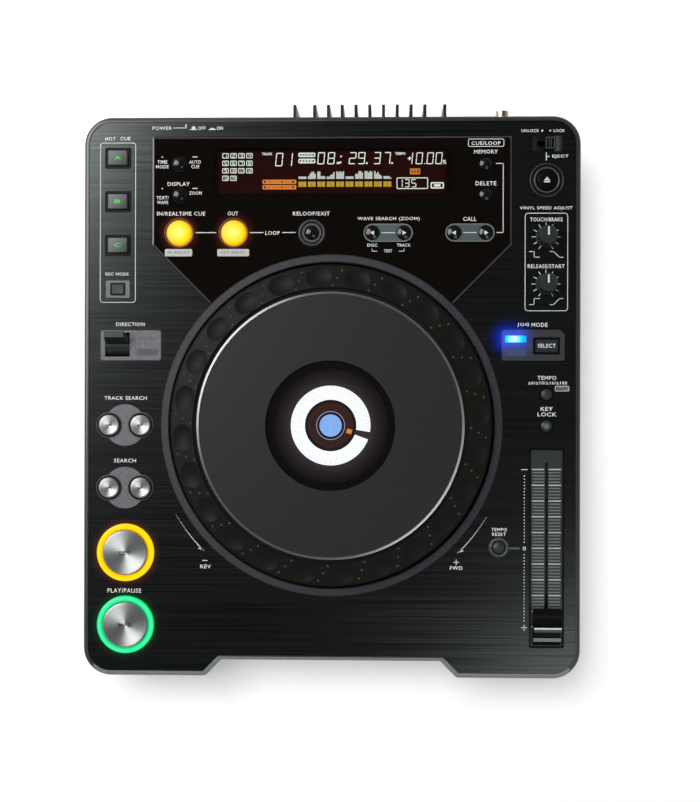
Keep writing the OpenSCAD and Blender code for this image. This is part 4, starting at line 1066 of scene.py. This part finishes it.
tube("tube_white_figures", phosphor("phosphor_white", "#e6f2e4", 1.5), [
    *[(seven_bars, sign, x, 144.8, 4.6, 8.6) for sign, x in (("0", -36.2), ("1", -30.0))],
    *[(seven_bars, sign, x, 146.0, 4.5, 7.7)
      for sign, x in zip("082937", (-9.1, -2.6, 11.2, 17.0, 27.0, 33.4))],
    *[(seven_bars, sign, x, 145.9, 4.2, 7.5, 0.5)
      for sign, x in zip("1000", (48.0, 54.4, 61.4, 67.0))],
    *[(spot, x, y, 0.5, 0.5)
      for x, y in ((5.9, 151.0), (5.9, 147.2), (22.9, 146.6), (39.2, 146.6))],
    (block, 60.0, 145.9, 60.6, 146.5), (block, 49.0, 149.3, 51.4, 149.9),
    (block, 49.9, 148.4, 50.5, 150.8), (lean, 0.09, 149)])

# %% Small frames and words of the tube
phosphor_words = phosphor("phosphor_white_words", "#e6f2e4", 1.3)
tube("tube_frames", phosphor_words, [
    (outline, -21.5, 150.7, -10.6, 153.5, 0.8, 0.8),
    (outline, -21.5, 146.6, -10.6, 149.6, 0.8, 0.8),
    *[(block, x, y0, x + 1.5, y1) for x in (-19.9, -17.9, -15.9, -13.9)
      for y0, y1 in ((151.8, 152.4), (147.7, 148.5))],
    (outline, 41.9, 129.9, 62.2, 137.3, 0.55, 0.8), (outline, 63.8, 130.1, 72.4, 134.2, 0.8, 0.8),
    *[(seven_bars, sign, x, 131.0, 3.2, 5.2, 0.5) for sign, x in zip("135", (42.6, 47.0, 51.4))],
    (block, 66.0, 131.4, 70.2, 132.9)])
letters("tube_words", [("TRACK", -45.1, -38.4, 151.9, 153.6), ("TEMPO", 40.9, 47.6, 151.9, 153.6),
                       ("M", 3.4, 5.1, 146.0, 147.6), ("%", 71.6, 74.0, 145.9, 148.6)],
        TUBE_Z, phosphor_words, bold=0.03)

# %% Wave, cue bar and orange bars
heights = [(1.6, 1.6, 1.6, 1.6, 1.6), (1.9, 3.4, 4.6, 4.6, 3.4), (4.8, 4.8, 1.8, 1.8, 1.8),
           (1.5, 1.5, 2.4, 3.0, 4.4), (4.9, 4.2, 4.9, 4.2, 4.9), (1.6, 1.6, 1.6, 1.6, 1.6),
           (3.2, 3.2, 5.0, 5.0, 4.0), (5.0, 5.0, 4.0, 5.0, 4.6), (5.0, 3.4, 4.4, 2.8, 2.0),
           (1.7, 1.7, 1.7, 1.7, 0.8)]
tube("tube_wave", phosphor("phosphor_pale", "#c8d2c8", 1.25), [
    (spot, -20.94 + 6.1 * g + 1.03 * k, 136.5 + tall / 2, 0.46, tall / 2)
    for g, group in enumerate(heights) for k, tall in enumerate(group)])
tube("tube_cue_bar", phosphor("phosphor_yellow", "#c8a60a", 1.05), [
    (spot, -20.2 + 6.1 * g + 2.6 * k, 133.1, 1.2, 1.7) for g in range(10) for k in (0, 1)])
tube("tube_orange_bars", phosphor("phosphor_orange", "#f48a10", 1.0), [
    (block, -44.8, 133.3, -22.8, 136.1, 0.8), (block, -44.8, 129.8, -22.8, 132.6, 0.8),
    (outline, 50.5, 139.3, 57.1, 143.1, 0.9, 0.4), (block, 52.1, 140.4, 53.4, 142.0),
    (block, 54.0, 140.4, 55.3, 142.0)])
tube("tube_bar_marks", black_ink, [
    (spot, x, y, size / 2, size / 2, size / 3) for y in (134.7, 131.2)
    for x, size in ((-43.2, 1.4), (-40.2, 0.6), (-38.0, 0.6), (-36.2, 0.6), (-34.4, 0.6),
                    (-32.2, 1.2), (-29.9, 0.6), (-28.1, 0.6), (-24.9, 1.4))], TUBE_Z + INK)

# %% [markdown]
# ## The jog wheel's display
# In the middle of the wheel a round display shows a white ring of short rays with a gap at its
# playing position, an orange marker, a brown zone, a thin line and a small blue disc. A ray is a
# wedge that fills most of its pitch. A black ring, 36.6 to 41.4 mm out, lies just under the lens.

# %% Round display
RAYS, GAP_FROM, GAP_TO = 135, -8, -21.5
display_z = top_of("jog_display")[2]
pitch = (360 - (GAP_FROM - GAP_TO)) / (RAYS - 1)
tube("display_white_ring", phosphor("lamp_white_rays", "#f2f8fc", 1.9), [
    (figure, [polar(jog_mm, r, GAP_FROM + pitch * (i + side * 0.42))
              for r, side in ((16.4, -1), (25.4, -1), (25.4, 1), (16.4, 1))])
    for i in range(RAYS)], display_z + 0.02)
for name, inner, outer, lift, material in (
        ("display_brown_zone", 0, 16.3, 0, lit_plastic("lamp_brown_zone", jog, [
            (0, "#1c1030"), (8.6, "#1c1030"), (9.3, "#3a201c"), (13.6, "#3f2622"),
            (15.2, "#1a1416"), (16.4, "#161012")], body="#0c0909")),
        ("display_thin_ring", 8.7, 9.2, 0.03, phosphor("lamp_pale_line", "#b8c0d8", 0.8)),
        ("display_blue_disc", 0, 7.1, 0.03, phosphor("lamp_blue_disc", "#7ca8e6", 1.6))):
    tube(name, material, [(ring, jog_mm.xy, inner, outer, 0.02)], display_z + lift)
tube("display_marker", phosphor("lamp_orange_marker", "#ff9a20", 1.0), [
    (spot, *polar(jog_mm, 12.4, -17.3), 1.7, 1.45, 0, INK, math.radians(-17.3))],
    display_z + 0.03)
drawn("lens_border", groove_abs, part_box("jog_lens")[0].z / MM - 0.06, [
    (ring, jog_mm.xy, 36.6, 41.4, 0.04, 96)], "jog_plate")

# %% [markdown]
# ## Small dimples on the jog ring
# Between each two finger dimples lie three tiny ones in a slanted row. They are shallow cups in the
# real moulding; here each is a small flattened bead sunk in the slope, paler than the ring as a
# painted highlight.

# %% Dots on the jog ring
GRIP_RISE, GRIP_RUN = 3.2, 13.8
slope = math.atan2(GRIP_RISE, GRIP_RUN)
bm = bmesh.new()
for i in range(24):
    for r, offset in ((88.9, 89.2), (93.7, 87.45), (98.7, 85.73)):
        degrees = offset + 15 * i
        z = 103.4 - (r - 87.7) * GRIP_RISE / GRIP_RUN
        place = (Matrix.Translation((*polar(jog_mm, r, degrees), z))
                 @ Matrix.Rotation(math.radians(degrees), 4, "Z")
                 @ Matrix.Rotation(slope, 4, "Y") @ Matrix.Diagonal((1, 1, 0.3, 1)))
        bmesh.ops.create_icosphere(bm, subdivisions=1, radius=0.95, matrix=place)
# The beads' paler tone is a painted highlight of the light in the cups.
add_piece("jog_ring_beads", bm, grained("moulded_grip_beads_painted_highlight", "#30332d", "#3e413a", 0.4, 0.6,
                                        ior=1.5), "jog", smooth=True)

# %% [markdown]
# ## Lamps of the jog mode
# Two small windows sit in the grey plate. The upper one is lit blue, and its light is already in
# the finishes of the panel and the plate around it; the lower one is dark, with a faint painted
# blue glow.

# %% Jog mode lamps
for name, front, back, material in (
        ("jog_mode_lamp_lit", 30.9, 35.3, lit_plastic(
            "blue_lamp_window", Vector((117.2, 33.1, 0)) * MM,
            [(0, "#e8ffff"), (2.6, "#98f4ff"), (5.0, "#10d8ff"), (8.2, "#00a0ff")], 1.1,
            "#001040")),
        # The dark window's faint blue emission is a painted glow.
        ("jog_mode_lamp_dark", 22.2, 26.6, phosphor("dark_lamp_window_painted_glow", "#3c5088", 0.6))):
    drawn(name, material, top_of("jog_mode_plate")[2] - 0.3, [
        (block, 111.6, front, 125.2, back, 0.4, 0.2)])

# %% [markdown]
# ## Last lines
# The view layer is brought up to date.

# %% Bring the view layer up to date
bpy.context.view_layer.update()
